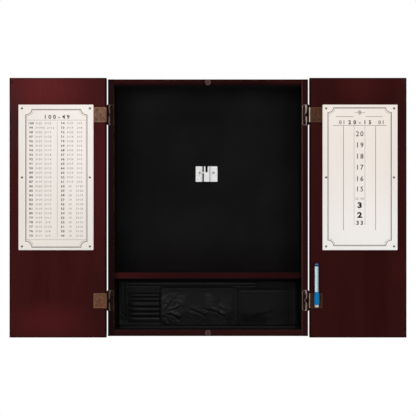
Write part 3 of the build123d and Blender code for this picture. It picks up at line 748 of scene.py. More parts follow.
# profile is (radius, y) from the face's middle outwards, head towards -Y; recess is its reach and depth
screwShapes = {
    "flat": {"recess": (1.9, 1.1), "profile": (
        (0, 0), (2.6, 0), (2.9, 0.12), (2.9, 0.2), (1.4, 1.6), (1.4, 5.0), (0, 5.0))},
    "pan": {"recess": (1.8, 1.5), "profile": (
        (0, -1.5), (0.9, -1.42), (1.7, -1.2), (2.4, -0.86), (2.8, -0.5), (3.0, -0.2), (3.0, 0),
        (1.4, 0), (1.4, 5.0), (0, 5.0))},
    "truss": {"recess": (2.3, 1.9), "profile": (
        (0, -2.2), (1.1, -2.1), (2.2, -1.72), (3.1, -1.15), (3.7, -0.55), (3.9, -0.2), (3.9, 0),
        (1.4, 0), (1.4, 4.0), (0, 4.0))},
}


def crossRecess(reach, depth, front, mat):
    # two tapered bars that cross, as the driver's point does
    s = screwSizes
    bm = bmesh.new()
    half = s["recessWidth"] / 2
    low = half * s["recessTaper"]
    for turn in (0, 90):
        made = bmesh.ops.create_cube(bm, size=1.0)["verts"]
        for v in made:
            deep = v.co.y > 0
            v.co.x = math.copysign(reach * (s["recessPoint"] if deep else 1.0), v.co.x)
            v.co.z = math.copysign(low if deep else half, v.co.z)
            v.co.y = front + depth if deep else front - s["recessOver"]
        bmesh.ops.rotate(bm, verts=made, cent=(0, 0, 0), matrix=Matrix.Rotation(math.radians(turn), 3, "Y"))
    bmesh.ops.scale(bm, vec=(mm, mm, mm), verts=bm.verts)
    return pieceFrom(bm, "recess", mat)


def cleaned(mesh):
    # no slivers and no doubled faces after the recess is cut
    bm = bmesh.new()
    bm.from_mesh(mesh)
    bmesh.ops.remove_doubles(bm, verts=bm.verts, dist=screwSizes["sliver"])
    bmesh.ops.dissolve_degenerate(bm, dist=screwSizes["sliver"], edges=bm.edges)
    seen = {}
    for face in bm.faces:
        seen.setdefault(frozenset(face.verts), []).append(face)
    doubled = [face for faces in seen.values() if len(faces) > 1 for face in faces]
    bmesh.ops.delete(bm, geom=doubled, context="FACES")
    bmesh.ops.delete(bm, geom=[v for v in bm.verts if not v.link_faces], context="VERTS")
    bm.to_mesh(mesh)
    bm.free()
    return mesh


def turnedScrew(shape, mat):
    bm = bmesh.new()
    spun(bm, [(r * mm, y * mm, 0) for r, y in shape["profile"]], (0, 0, 0), (0, 1, 0), screwSizes["steps"])
    merged(bm, screwSizes["merge"])
    screw = pieceFrom(bm, "screw", mat)
    cutter = crossRecess(*shape["recess"], shape["profile"][0][1], mat)
    cut = screw.modifiers.new("recess", "BOOLEAN")
    cut.operation = "DIFFERENCE"
    cut.object = cutter
    cut.solver = "EXACT"
    cut.use_self = True
    settle(screw)
    bpy.data.objects.remove(cutter)
    mesh = screw.data
    bpy.data.objects.remove(screw)
    return cleaned(mesh)


def screwPlaces(node):
    # middle and front of each screw in a CAD group
    apart = screwSizes["apart"]
    spots = []
    for v in nodes[node].data.vertices:
        for x, z, seen in spots:
            if abs(v.co.x - x) < apart and abs(v.co.z - z) < apart:
                seen.append(v.co)
                break
        else:
            spots.append((v.co.x, v.co.z, [v.co]))
    places = []
    for _, _, seen in spots:
        xs = [co.x for co in seen]
        zs = [co.z for co in seen]
        places.append(((min(xs) + max(xs)) / 2, min(co.y for co in seen), (min(zs) + max(zs)) / 2))
    return places


def driveScrews(name, node, base, body, chance, mat):
    # the head's middle comes to the front of the CAD screw
    front = min(v.co.y for v in base.vertices)
    bm = bmesh.new()
    for x, y, z in sorted(screwPlaces(node)):
        copied = base.copy()
        copied.transform(Matrix.Translation((x, y - front, z)) @ Matrix.Rotation(chance.uniform(0, math.pi), 4, "Y"))
        bm.from_mesh(copied)
        bpy.data.meshes.remove(copied)
    piece = pieceFrom(bm, name, mat)
    piece.data.set_sharp_from_angle(angle=math.radians(screwSizes["sharp"]))
    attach(piece, body)
    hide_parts(node)


flatScrew = turnedScrew(screwShapes["flat"], screwCopper["frame"])
panScrew = turnedScrew(screwShapes["pan"], boardScrew)
trussScrew = turnedScrew(screwShapes["truss"], zincScrew)
chance = random.Random(screwSizes["seed"])
for side in ("left", "right"):
    door = side + "_door"
    driveScrews(side + "LeafScrews", side + "_leaf_screws", flatScrew, door, chance,
                screwCopper[side])
    driveScrews(side + "FrameScrews", side + "_frame_screws", flatScrew, "cabinet", chance,
                screwCopper["frame"])
    driveScrews(side + "BoardScrews", side + "_board_screws", panScrew, door, chance, boardScrew)
driveScrews("bracketScrews", "bracket_screws", trussScrew, "cabinet", chance, zincScrew)
driveScrews("catchScrews", "catch_screws", panScrew, "cabinet", chance, catchScrew)
print("stage: screws done")


# Push-in caps over the four wall screw holes

capSizes = {
    "places": ((-203.2, -150), (-203.2, 150), (203.2, -150), (203.2, 150)),
    "profile": ((0, -1.1), (1.8, -1.05), (3.4, -0.85), (4.3, -0.5), (4.6, -0.15), (4.6, 0.0), (2.3, 0.0),
                (2.15, 4.2), (0, 4.2)),
    "steps": 32, "merge": 0.004 * mm,
}


def wallCaps():
    s = capSizes
    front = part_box("back_panel")[0].y
    bm = bmesh.new()
    for x, z in s["places"]:
        path = [(x * mm + r * mm, front + y * mm, z * mm) for r, y in s["profile"]]
        spun(bm, path, (x * mm, 0, z * mm), (0, 1, 0), s["steps"])
    merged(bm, s["merge"])
    caps = pieceFrom(bm, "wallScrewCaps", mouldedPlastic("capBlack", (9, 9, 9), (13, 13, 13), (0.6, 0.72), 0.15))
    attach(caps, "cabinet")


wallCaps()


# Printing on the score boards: lines and plain numbers, a thin layer of ink

printSizes = {
    "lift": 0.05,  # ink stands this far in front of the board
    "ink": 0.06,
    "borderLines": ((0.0, 1.5), (2.4, 0.5)),  # inset and width
    "cornerSteps": 10,
    "figureHeight": 0.7,  # of a figure whose size is 1
    "dash": 0.45,  # share of the pitch that a dot fills
}
glyphs = {}


def boardMiddle(side):
    low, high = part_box(side + "_score_board")
    return (low.x + high.x) / 2 / mm, (low.z + high.z) / 2 / mm, low.y / mm


def glyphOf(letter, weight):
    # outline of one figure at a size of 1, as points and faces
    key = (letter, weight)
    if key not in glyphs:
        curve = bpy.data.curves.new("figure", "FONT")
        curve.body = letter
        curve.size = 1.0
        curve.resolution_u = 2
        curve.offset = weight
        holder = bpy.data.objects.new("figure", curve)
        bpy.context.scene.collection.objects.link(holder)
        mesh = meshOf(holder)
        points = [(v.co.x, v.co.y) for v in mesh.vertices]
        glyphs[key] = (points, [tuple(p.vertices) for p in mesh.polygons])
        bpy.data.objects.remove(holder)
        bpy.data.meshes.remove(mesh)
        bpy.data.curves.remove(curve)
    return glyphs[key]


class InkLayer:
    # collects flat shapes in board coordinates, then becomes one piece
    def __init__(self, middle, shift=0.0):
        self.middle = (middle[0] + shift, middle[1])
        self.faceY = middle[2]
        self.points = []
        self.faces = []

    def add(self, points, faces):
        start = len(self.points)
        self.points += points
        self.faces += [tuple(start + i for i in face) for face in faces]

    def line(self, path, width, closed=False):
        # a ribbon of the given width along the path
        count = len(path)
        sides = []
        for i, (x, z) in enumerate(path):
            before = path[i - 1] if i or closed else path[0]
            after = path[(i + 1) % count] if i < count - 1 or closed else path[-1]
            first = Vector((x - before[0], z - before[1]))
            second = Vector((after[0] - x, after[1] - z))
            first = first.normalized() if first.length else second.normalized()
            second = second.normalized() if second.length else first
            out = Vector((-(first.y + second.y), first.x + second.x)).normalized()
            grow = 1 / max(0.5, out.dot(Vector((-first.y, first.x))))
            sides.append((x + out.x * width / 2 * grow, z + out.y * width / 2 * grow))
            sides.append((x - out.x * width / 2 * grow, z - out.y * width / 2 * grow))
        last = count if closed else count - 1
        faces = []
        for i in range(last):
            a, b = 2 * i, 2 * ((i + 1) % count)
            faces.append((a, a + 1, b + 1, b))
        self.add(sides, faces)

    def text(self, words, x, z, height, weight=0.0, spread=0.62, wide=1.0):
        # figures on equal steps, centred on x, standing on z - height / 2
        scale = height / printSizes["figureHeight"]
        step = spread * scale * wide
        start = x - step * (len(words) - 1) / 2
        for i, letter in enumerate(words):
            if letter == " ":
                continue
            points, faces = glyphOf(letter, weight)
            xs = [across for across, _ in points]
            middle = (min(xs) + max(xs)) / 2
            self.add([(start + i * step + (across - middle) * scale * wide, z - height / 2 + up * scale)
                      for across, up in points], faces)

    def border(self, halfWidth, top, bottom, scoops):
        for inset, width in printSizes["borderLines"]:
            self.line(notchedBorder(halfWidth, top, bottom, scoops, inset), width, True)

    def dots(self, x, top, bottom, pitch, width):
        z = top
        while z > bottom:
            self.line([(x, z), (x, z - pitch * printSizes["dash"])], width)
            z -= pitch

    def finish(self, name, mat, body):
        bm = bmesh.new()
        back = self.faceY - printSizes["lift"]
        front = back - printSizes["ink"]
        for y in (front, back):
            made = [bm.verts.new(((self.middle[0] + x) * mm, y * mm, (self.middle[1] + z) * mm))
                    for x, z in self.points]
            for face in self.faces:
                try:
                    bm.faces.new([made[i] for i in (face if y == front else face[::-1])])
                except ValueError:  # the same face stands there already
                    pass
        bm.verts.ensure_lookup_table()
        # walls between the two layers
        count = len(self.points)
        edges = {}
        for face in self.faces:
            for a, b in zip(face, face[1:] + face[:1]):
                edges[frozenset((a, b))] = edges.get(frozenset((a, b)), []) + [(a, b)]
        for used in edges.values():
            if len(used) == 1:
                a, b = used[0]
                bm.faces.new((bm.verts[b], bm.verts[a], bm.verts[a + count], bm.verts[b + count]))
        bmesh.ops.recalc_face_normals(bm, faces=bm.faces)
        piece = pieceFrom(bm, name, mat, smooth=False)
        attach(piece, body)
        return piece


def notchedBorder(halfWidth, top, bottom, scoops, inset):
    # a rectangle whose corners are scooped by quarter rounds: (reach across, reach down) at top and bottom
    count = printSizes["cornerSteps"]
    path = []
    for sx, z, scoop, start in ((1, top, scoops[0], 180), (1, bottom, scoops[1], 90),
                                (-1, bottom, scoops[1], 0), (-1, top, scoops[0], 270)):
        reachX, reachZ = scoop[0] + inset * 0.4, scoop[1] + inset * 0.4
        cx = sx * (halfWidth - inset)
        cz = z - inset if z == top else z + inset
        for i in range(count + 1):
            turn = math.radians(start + 90 * i / count)
            path.append((cx + reachX * math.cos(turn), cz + reachZ * math.sin(turn)))
    return path


leftPrint = {
    "shift": 1.2,  # off the board's middle
    "border": {"halfWidth": 83.0, "top": 184.0, "bottom": -189.2, "scoops": ((16.8, 14.8), (16.8, 16.2))},
    "title": {"words": "100-49", "x": 1.0, "z": 163.9, "height": 10.6, "weight": 0.02, "spread": 0.76, "wide": 1.08},
    "ruleZ": 154.9, "lastRuleZ": -168.6, "ruleHalf": 78.5, "ruleWidth": 0.6,
    "firstRow": 146.4, "rowPitch": 12.17, "rows": 26, "highest": 100,
    "columns": (-68.5, -48.0, -23.0), "secondColumns": (17.2, 37.0, 62.6),
    "middleLine": 2.4, "middleGaps": (4, 6),
    "total": {"height": 5.6, "weight": 0.035, "spread": 0.66},
    "firstThrow": {"height": 5.2, "spread": 0.62}, "lastThrow": {"height": 5.2, "spread": 0.68},
}
rightPrint = {
    "shift": -1.05,
    "border": {"halfWidth": 86.0, "top": 188.4, "bottom": -185.0, "scoops": ((15.4, 13.0), (15.4, 15.4))},
    "markZ": 175.6, "diamonds": ((5.6, 1.0), (2.2, 1.2)), "dashes": (9.0, 13.0, 1.2),
    "shortLineZ": 164.4, "headRuleZ": 140.5, "ruleWidth": 0.9,
    "shortLines": ((-64.3, -17.6), (15.4, 61.9)), "headEnds": ((-72.4, -58), (45, 72)),
    "longLines": (-43.9, 43.1), "longGap": 1.4, "longWidth": 1.0, "linesEnd": -141.9,
    "dotted": (-15.0, 14.2), "dotsGap": 1.6, "dotsEnd": -129.4, "dotsPitch": 3.2, "dotsWidth": 1.1,
    # figures, x, z, height, weight, spread and width
    "heads": (("01", -47.4, 149.2, 10.2, 0.01, 0.66, 1.0), ("01", 58.6, 149.2, 10.2, 0.01, 0.66, 1.0),
              ("20-15", 0.4, 149.2, 10.2, 0.035, 0.94, 1.0)),
    "column": (("20", 0, 118.2, 13.4, 0.008, 0.63, 0.98), ("19", 0, 87.8, 13.4, 0.008, 0.63, 0.98),
               ("18", 0, 57.4, 13.4, 0.008, 0.63, 0.98), ("17", 0, 27.6, 13.4, 0.008, 0.63, 0.98),
               ("16", 0, -3.6, 13.4, 0.008, 0.63, 0.98), ("15", 0, -31.4, 13.4, 0.008, 0.63, 0.98),
               ("25-50", -0.4, -57.4, 5.4, 0.0, 0.62, 1.0),
               ("3", 0, -75.0, 14.2, 0.05, 0.62, 1.25), ("2", 0, -101.6, 14.2, 0.05, 0.62, 1.25),
               ("33", 0, -122.8, 10.5, 0.03, 0.72, 1.05)),
}


def throwsFor(total):
    # up to three throws that make the total, the last one a double
    for count, word in ((3, "3\u00d7"), (1, "")) if total > 60 else ((1, ""),):
        for face in range(20, 0, -1):
            rest = total - count * face
            if 0 < rest <= 40 and rest % 2 == 0:
                return f"{word}{face}", f"2\u00d7{rest // 2}"
    return "3\u00d719", f"{total - 57 - 32} 2\u00d716"


def layersFor(side, shift):
    return InkLayer(boardMiddle(side), shift), InkLayer(boardMiddle(side), shift)


def printLeft():
    sizes = leftPrint
    dark, pale = layersFor("left", sizes["shift"])
    dark.border(**sizes["border"])
    dark.text(**sizes["title"])
    ruleZ, lastZ = sizes["ruleZ"], sizes["lastRuleZ"]
    for z in (ruleZ, lastZ):
        pale.line([(-sizes["ruleHalf"], z), (sizes["ruleHalf"], z)], sizes["ruleWidth"])
    x, (below, above) = sizes["middleLine"], sizes["middleGaps"]
    pale.line([(x, ruleZ - below), (x, lastZ + above)], sizes["ruleWidth"])
    total = sizes["highest"]
    for columns in (sizes["columns"], sizes["secondColumns"]):
        for row in range(sizes["rows"]):
            z = sizes["firstRow"] - row * sizes["rowPitch"]
            first, last = throwsFor(total)
            dark.text(str(total), columns[0], z, **sizes["total"])
            pale.text(first, columns[1], z, **sizes["firstThrow"])
            pale.text(last, columns[2], z, **sizes["lastThrow"])
            total -= 1
    dark.finish("leftPrintDark", inkDark, "left_door")
    pale.finish("leftPrintPale", inkPale, "left_door")


def printRight():
    sizes = rightPrint
    dark, pale = layersFor("right", sizes["shift"])
    dark.border(**sizes["border"])
    ruleZ, ruleWidth, markZ = sizes["headRuleZ"], sizes["ruleWidth"], sizes["markZ"]
    for z, ends in ((sizes["shortLineZ"], sizes["shortLines"]), (ruleZ, sizes["headEnds"])):
        for first, last in ends:
            dark.line([(first, z), (last, z)], ruleWidth)
    pale.line([(sizes["headEnds"][0][1], ruleZ), (sizes["headEnds"][1][0], ruleZ)], ruleWidth)
    # a plain ornament of two diamonds, and a dash to each side
    for half, width in sizes["diamonds"]:
        dark.line([(-half, markZ), (0, markZ + half), (half, markZ), (0, markZ - half)], width, True)
    near, far, width = sizes["dashes"]
    for side in (-1, 1):
        dark.line([(side * near, markZ), (side * far, markZ)], width)
    for text in sizes["heads"]:
        dark.text(*text)
    for x in sizes["longLines"]:
        dark.line([(x, ruleZ - sizes["longGap"]), (x, sizes["linesEnd"])], sizes["longWidth"])
    for x in sizes["dotted"]:
        dark.dots(x, ruleZ - sizes["dotsGap"], sizes["dotsEnd"], sizes["dotsPitch"], sizes["dotsWidth"])
    for text in sizes["column"]:
        dark.text(*text)
    dark.finish("rightPrintDark", inkDark, "right_door")
    pale.finish("rightPrintPale", inkPale, "right_door")


printLeft()
printRight()
print("stage: printing done")


# Leatherette of the pouch

leatherPaintedLightAndShade = (
    # painted light and shade: left, right, bottom, top and soft edge in mm, and how much darker or lighter that
    # region is
    (-254, -240, -340, -200, 3, 1.6),
    (-236, -226, -322, -228, 4, 0.75),
    (-225, -137, -318, -240, 4, 0.86),
    (-254, -134, -340, -316, 3, 2.3),
    (-140, -116, -316, -246, 6, 1.7),
    (-120, 52, -334, -284, 8, 1.45),
    (-8, 14, -270, -242, 8, 1.4),
    (-100, 80, -234, -222, 4, 0.85),
    (83.7, 86.9, -340, -224, 0.6, 0.3),
    (90, 260, -340, -200, 20, 0.78),
    (84, 150, -226, -206, 6, 0.62),
    (165, 256, -346, -300, 8, 1.7),
    (214, 262, -224, -200, 4, 0.55),
    (120, 260, -229, -200, 6, 0.7),
)
pebbleScale = 900.0


def leatherette(name, tone, shade, rough):
    mat, shader = newFinish(name, specular=0.5)
    place = placeIn(mat)
    x, _, z = axesOf(mat, place)
    cells = addNode(mat, "TexVoronoi", {"Vector": place, "Scale": pebbleScale}, feature="DISTANCE_TO_EDGE")
    pebble = between(mat, cells.outputs["Distance"], 0.02, 0.35)
    cloudy = clouds(mat, place, 25, 4.0)
    tint = blendTone(mat, between(mat, cloudy, 0.3, 0.7), linear(*tone), linear(*shade))
    tint = blendTone(mat, between(mat, pebble, 0.0, 0.6, 0.5, 0.0), tint, linear(4, 4, 4))
    # painted light and shade on the leatherette, region by region
    for left, right, bottom, top, soft, factor in leatherPaintedLightAndShade:
        inside = calc(mat, "MULTIPLY", band(mat, x, left, right, soft), band(mat, z, bottom, top, min(soft, 4)))
        tint = dimmed(mat, tint, between(mat, inside, 0.0, 1.0, 1.0, factor))
    height = calc(mat, "ADD", pebble, calc(mat, "MULTIPLY", cloudy, 0.6))
    return dress(mat, shader, tint, between(mat, cloudy, 0.3, 0.7, *rough), height, 0.35, 0.1 * mm)


blackLeatherette = leatherette("blackLeatherette", (27, 27, 27), (20, 20, 20), (0.34, 0.46))
stitchThread = printedInk("stitchThread", (34, 34, 35), (48, 48, 49))


def boxInMm(node):
    low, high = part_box(node)
    return {"left": low.x / mm, "right": high.x / mm, "bottom": low.z / mm, "top": high.z / mm,
            "front": low.y / mm, "back": high.y / mm}


def smoothStep(value, low, high):
    share = min(1.0, max(0.0, (value - low) / (high - low)))
    return share * share * (3 - 2 * share)


def bell(value, half):
    return math.exp(-(value / half) ** 2)


def steps(low, high, size):
    count = max(2, round((high - low) / size) + 1)
    return [low + (high - low) * i / (count - 1) for i in range(count)]


def cornersOf(wide, tall):
    # the first corner of every cell in a grid of points
    return [a for j in range(tall - 1) for a in range(j * wide, j * wide + wide - 1)]


def sheetPiece(name, area, step, frontAt, wall=None, backY=None):
    # a sheet seen from the front: its depth is frontAt(x, z) in mm, with a flat back or an even wall
    xs = steps(area["left"], area["right"], step)
    zs = steps(area["bottom"], area["top"], step)
    wide, tall = len(xs), len(zs)
    verts = [(x * mm, frontAt(x, z) * mm, z * mm) for z in zs for x in xs]
    faces = [(a, a + 1, a + wide + 1, a + wide) for a in cornersOf(wide, tall)]
    if backY is not None:
        start = len(verts)
        verts += [(x * mm, backY * mm, z * mm) for z in zs for x in xs]
        faces += [tuple(start + i for i in face[::-1]) for face in faces]
        rim = list(range(wide)) + [j * wide + wide - 1 for j in range(1, tall)]
        rim += [(tall - 1) * wide + i for i in range(wide - 2, -1, -1)] + [j * wide for j in range(tall - 2, 0, -1)]
        faces += [(b, a, a + start, b + start) for a, b in zip(rim, rim[1:] + rim[:1])]
    piece = newPiece(name, verts, faces, blackLeatherette)
    return piece if wall is None else thickened(piece, wall)


def pouchPart(piece, node):
    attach(piece, "cabinet")
    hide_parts(node)
    return piece


def foldLift(x, z, folds):
    # each fold is a ridge along a line, with a crease under it where the leatherette tucks in
    lift = 0.0
    for x0, z0, x1, z1, half, rise, tuck, bend in folds:
        dx, dz = x1 - x0, z1 - z0
        length = math.hypot(dx, dz)
        share = ((x - x0) * dx + (z - z0) * dz) / length ** 2
        off = ((z - z0) * dx - (x - x0) * dz) / length
        if dx < 0:
            off = -off
        if abs(off) > 4 * half or not -0.6 < share < 1.6:
            continue
        bent = off - bend * length * math.sin(share * math.pi)
        fade = smoothStep(share, -0.35, 0.2) * (1 - smoothStep(share, 0.8, 1.35))
        lift += fade * (rise * bell(bent, half) - tuck * bell(bent + 1.25 * half, 0.55 * half))
    return lift


def crumple(x, z, size, seed):
    # sharp uneven wrinkles of a thin sheet
    spot = Vector((x / size, z / size, seed))
    warp = 0.6 * noiseAt(spot * 0.7 + Vector((5.1, 2.3, 0)))
    spot += Vector((warp, -warp, 0))
    total = 0.0
    for octave, share in ((1.0, 0.6), (2.1, 0.28), (4.3, 0.12)):
        total += share * (1 - 2.2 * abs(noiseAt(spot * octave)))
    return total


backingSizes = {
    "spread": (5.2, 7.0),  # the sheet reaches this far past the solid at the left and at the right
    "step": 1.25, "thinnest": 0.5, "thickest": 6.5,
    "lift": 0.6, "round": 2.5, "swell": 1.7,
    "crumple": 0.7, "crumpleSize": 44,
    "hemFrom": -226.0, "hemTo": 132.0, "hemDrop": 5.8,
    "hemRidges": ((0.0, 3.0, 1.0), (-9.0, 1.9, 1.2)),  # below the hem's top, half width, rise
    "hemGrooves": (-4.4, -12.2), "grooveDepth": 1.1, "grooveHalf": 0.8,
    "wedge": ((-241, -292, -229, -304, 3.0, 0.6, 1.5, 0.0),),
    "rightRidge": (0.9, 9, 4.0),  # rise, how far from the edge, and half width
}
pouchBox = boxInMm("pouch_backing")
pouchBox["left"] -= backingSizes["spread"][0]
pouchBox["right"] += backingSizes["spread"][1]


def backingFront(x, z):
    b, s = pouchBox, backingSizes
    edge = min(x - b["left"], b["right"] - x, z - b["bottom"], b["top"] - z)
    soft = math.sqrt(max(0.0, 1 - (1 - min(1.0, max(0.0, edge) / s["round"])) ** 2))
    lift = s["lift"] + s["swell"] * soft
    lift += s["crumple"] * crumple(x, z * 0.8, s["crumpleSize"], 1.0) * smoothStep(edge, 0, 8)
    along = smoothStep(x, s["hemFrom"] - 3, s["hemFrom"]) * (1 - smoothStep(x, s["hemTo"] - 8, s["hemTo"] + 8))
    hemZ = b["top"] - s["hemDrop"] + 0.5 * noiseAt(Vector((x / 40, 0, 3)))
    for drop, half, rise in s["hemRidges"]:
        lift += along * rise * bell(z - hemZ - drop, half)
    for drop in s["hemGrooves"]:
        lift -= along * s["grooveDepth"] * bell(z - hemZ - drop, s["grooveHalf"])
    if x < s["hemFrom"] + 3:
        side = smoothStep(x, b["left"], b["left"] + 5) * (1 - smoothStep(x, s["hemFrom"] - 4, s["hemFrom"] + 3))
        lift += side * (0.6 + 0.35 * math.sin((x - b["left"]) * 0.62 + z / 45) + foldLift(x, z, s["wedge"]))
    if x > s["hemTo"] + 90:
        rise, inward, half = s["rightRidge"]
        lift += rise * bell(x - b["right"] + inward, half)
    return b["back"] - max(s["thinnest"], min(s["thickest"], lift))


pouchBacking = pouchPart(sheetPiece("pouchBacking", pouchBox, backingSizes["step"], backingFront,
                                    backY=pouchBox["back"]), "pouch_backing")

sleeveBox = boxInMm("dart_sleeves")
sleeveSizes = {
    "loops": (11.0, 11.2, 16.6, 14.0, 14.0, 14.8),  # heights of the six loops, from the top
    "wall": 0.9, "cells": 16, "step": 1.5, "seam": 0.35, "spare": 0.3,
    "lean": (0.1, 0.2), "fullness": (0.8, 1.0), "wholeLoop": 14,
    "archPower": 0.62,
    "pinch": (0.3, 0.22),  # how full the left end stays, and how far along it is pinched
    "dent": 0.6,
    "seed": 5,
}


def sleeveSheet():
    # one strip of leatherette gathered into six loops, sewn down between them
    b, s = sleeveBox, sleeveSizes
    chance = random.Random(s["seed"])
    height = (b["top"] - b["bottom"]) / sum(s["loops"])
    deepest = pouchBox["front"] - b["front"] - s["spare"]
    held, pinchedTo = s["pinch"]
    rows = []
    top = b["top"]
    for loop in s["loops"]:
        lean = chance.uniform(*s["lean"])
        deep = deepest * chance.uniform(*s["fullness"]) * min(1.0, loop / s["wholeLoop"])
        for i in range(s["cells"]):
            share = i / s["cells"]
            rows.append((top - loop * height * share, share, lean, deep))
        top -= loop * height
    rows.append((b["bottom"], 0.0, 0.0, 0.0))
    xs = steps(b["left"], b["right"], s["step"])
    verts = []
    for z, share, lean, deep in rows:
        # fullest just above the middle, flatter below
        arch = math.sin(math.pi * share ** (1 - lean)) ** s["archPower"] if share else 0.0
        for x in xs:
            along = (x - b["left"]) / (b["right"] - b["left"])
            pinch = held + (1 - held) * smoothStep(along, 0.0, pinchedTo)
            swell = 1 + 0.09 * noiseAt(Vector((along * 5, z / 9, 2)))
            dent = s["dent"] * crumple(x, z * 2.2, 26, 6.0) * arch
            y = pouchBox["front"] - s["seam"] - max(0.0, deep * arch * pinch * swell + dent)
            verts.append((x * mm, y * mm, (z + 1.2 * (1 - pinch) * math.sin(share * math.tau)) * mm))
    wide = len(xs)
    faces = [(a, a + wide, a + wide + 1, a + 1) for a in cornersOf(wide, len(rows))]
    return thickened(newPiece("dartSleeves", verts, faces, blackLeatherette), s["wall"])


dartSleeves = pouchPart(sleeveSheet(), "dart_sleeves")

pocketSizes = {"gap": 0.3, "thinnest": 0.1, "wall": 1.2, "flange": 3.0}


def pocketFront(box, lift):
    # a pocket stays in front of the backing and inside the depth of its solid
    gap = pocketSizes["gap"]
    return pouchBox["front"] - gap - max(pocketSizes["thinnest"], min(-box["front"] + pouchBox["front"] - gap, lift))


centreSizes = {
    "spread": 1.6,  # the gathered edge lies a little over the seam
    "bulge": 7.6, "mouth": 4.2, "step": 1.25,
    "evenly": 0.55, "crumpleSize": 20,  # crumpled this much everywhere
    "lip": (0.8, 2.2, 1.8),  # rise, how far below the top, and half width
    # ridge from and to, half width, rise, and how far its lower side tucks in
    "folds": (
        (-128.6, -312, -128.2, -246, 4.6, 3.6, 0.0, 0.01),
        (-127, -262, -106, -270, 3.2, 2.0, 1.4, 0.04),
        (-132, -300, -116, -302, 5.0, 3.4, 1.6, 0.06),
        (-122, -306, -121, -327, 1.8, 1.5, 0.8, 0.03),
        (-109, -311, -107, -327, 1.6, 1.4, 0.8, -0.03),
        (-90, -318, -88, -328, 1.6, 1.1, 0.6, 0.0),
        (-128, -262, -106, -243, 4.2, 2.0, 1.2, 0.05),
        (-122, -284, -94, -247, 4.6, 2.4, 1.8, 0.04),
        (-112, -286, -76, -270, 4.2, 2.2, 1.6, -0.05),
        (-112, -293, -82, -307, 5.2, 4.0, 4.2, 0.1),
        (-88, -296, -78, -304, 5.0, 3.2, 1.0, 0.0),
        (-118, -312, -115, -326, 2.2, 1.0, 0.5, 0.0),
        (-99, -314, -95, -327, 2.2, 1.2, 0.6, 0.0),
        (-84, -316, -79, -327, 2.2, 1.0, 0.5, 0.0),
        (-104, -244, -68, -252, 5.0, 1.6, 1.0, -0.04),
        (-84, -262, -62, -281, 5.0, 1.4, 1.0, 0.08),
        (-46, -281, -14, -294, 5.0, 2.6, 4.0, 0.04),
        (-62, -290, -38, -299, 3.0, 1.2, 1.1, -0.06),
        (-14, -294, -4, -298, 6.0, 3.0, 1.0, 0.0),
        (-9, -279, 20, -287, 4.0, 2.0, 2.2, -0.05),
        (8, -280, 42, -297, 4.4, 2.8, 3.2, 0.02),
        (30, -272, 48, -284, 4.0, 2.4, 1.0, 0.0),
        (36, -294, 48, -300, 5.0, 3.4, 1.0, 0.0),
        (-8, -262, 12, -262, 8.0, 2.6, 0.0, 0.0),
        (-4, -250, 8, -250, 8.0, 2.2, 0.0, 0.0),
        (44, -260, 64, -284, 6.0, 0.9, 0.8, 0.06),
    ),
    # middle, reach and depth of the crumpled patches
    "crumpled": ((-122, -276, 24, 2.6), (-96, -296, 20, 1.6), (-108, -318, 24, 2.6), (14, -290, 36, 1.4),
                 (-38, -292, 28, 1.4), (60, -296, 26, 0.9)),
}
centreBox = boxInMm("centre_pocket")
centreBox["left"] -= centreSizes["spread"]


def centreFront(x, z):
    b, c = centreBox, centreSizes
    across = min(x - b["left"], b["right"] - x)
    up = z - b["bottom"]
    flange = pocketSizes["flange"]
    full = smoothStep(x - b["left"], -4, 7) * smoothStep(b["right"] - x, flange - 2, 22)
    full *= smoothStep(up, flange, 58)
    mouth = smoothStep(z, b["top"] - 46, b["top"])
    lift = full * (c["bulge"] * (1 - mouth) + c["mouth"] * mouth)
    hold = smoothStep(across, 0, 3) * smoothStep(up, 0, 5) * (1 - smoothStep(z, b["top"] - 14, b["top"]))
    lift += foldLift(x, z, c["folds"]) * hold
    rough = c["evenly"]
    for cx, cz, reach, depth in c["crumpled"]:
        rough += depth * bell(math.hypot(x - cx, (z - cz) * 1.2), reach)
    lift += rough * crumple(x, z, c["crumpleSize"], 4.0) * hold
    # a rolled lip along the mouth
    rise, below, half = c["lip"]
    lift += rise * bell(z - b["top"] + below, half) * smoothStep(across, 2, 10)
    return pocketFront(b, lift)


centrePocket = pouchPart(sheetPiece("centrePocket", centreBox, centreSizes["step"], centreFront,
                                    wall=pocketSizes["wall"]), "centre_pocket")

flatBox = boxInMm("flat_pocket")
flatSizes = {
    "bulge": 5.4, "step": 1.4,
    "folds": ((122, -300, 206, -268, 13.0, 1.0, 2.4, 0.04), (106, -314, 160, -300, 10.0, 0.5, 0.9, 0.0)),
    "lip": (1.0, 2.6, 2.2),
    "crumple": 0.5, "crumpleSize": 60,
}


def flatFront(x, z):
    b, f = flatBox, flatSizes
    across = min(x - b["left"], b["right"] - x)
    up = z - b["bottom"]
    full = smoothStep(x - b["left"], 0, 14) * smoothStep(b["right"] - x, 0, 55)
    full *= smoothStep(up, pocketSizes["flange"], 40)
    lift = full * f["bulge"] * (1 - 0.2 * smoothStep(z, b["top"] - 24, b["top"]))
    lift += foldLift(x, z, f["folds"]) * full
    rise, below, half = f["lip"]
    lift += rise * bell(z - b["top"] + below, half) * smoothStep(across, 0, 5)
    lift += f["crumple"] * crumple(x, z, f["crumpleSize"], 7.0) * full
    return pocketFront(b, lift)


flatPocket = pouchPart(sheetPiece("flatPocket", flatBox, flatSizes["step"], flatFront, wall=pocketSizes["wall"]),
                       "flat_pocket")

# Stitches: short raised threads that follow the sheets

stitchSizes = {
    "pitch": 4.6, "length": 3.3, "radius": 0.32, "sides": 6, "rings": 5,
    "proud": 0.12,
    "sink": 0.5,  # the ends go down into their holes by this much
    "seam": 1.5, "mouthGap": 2,
}


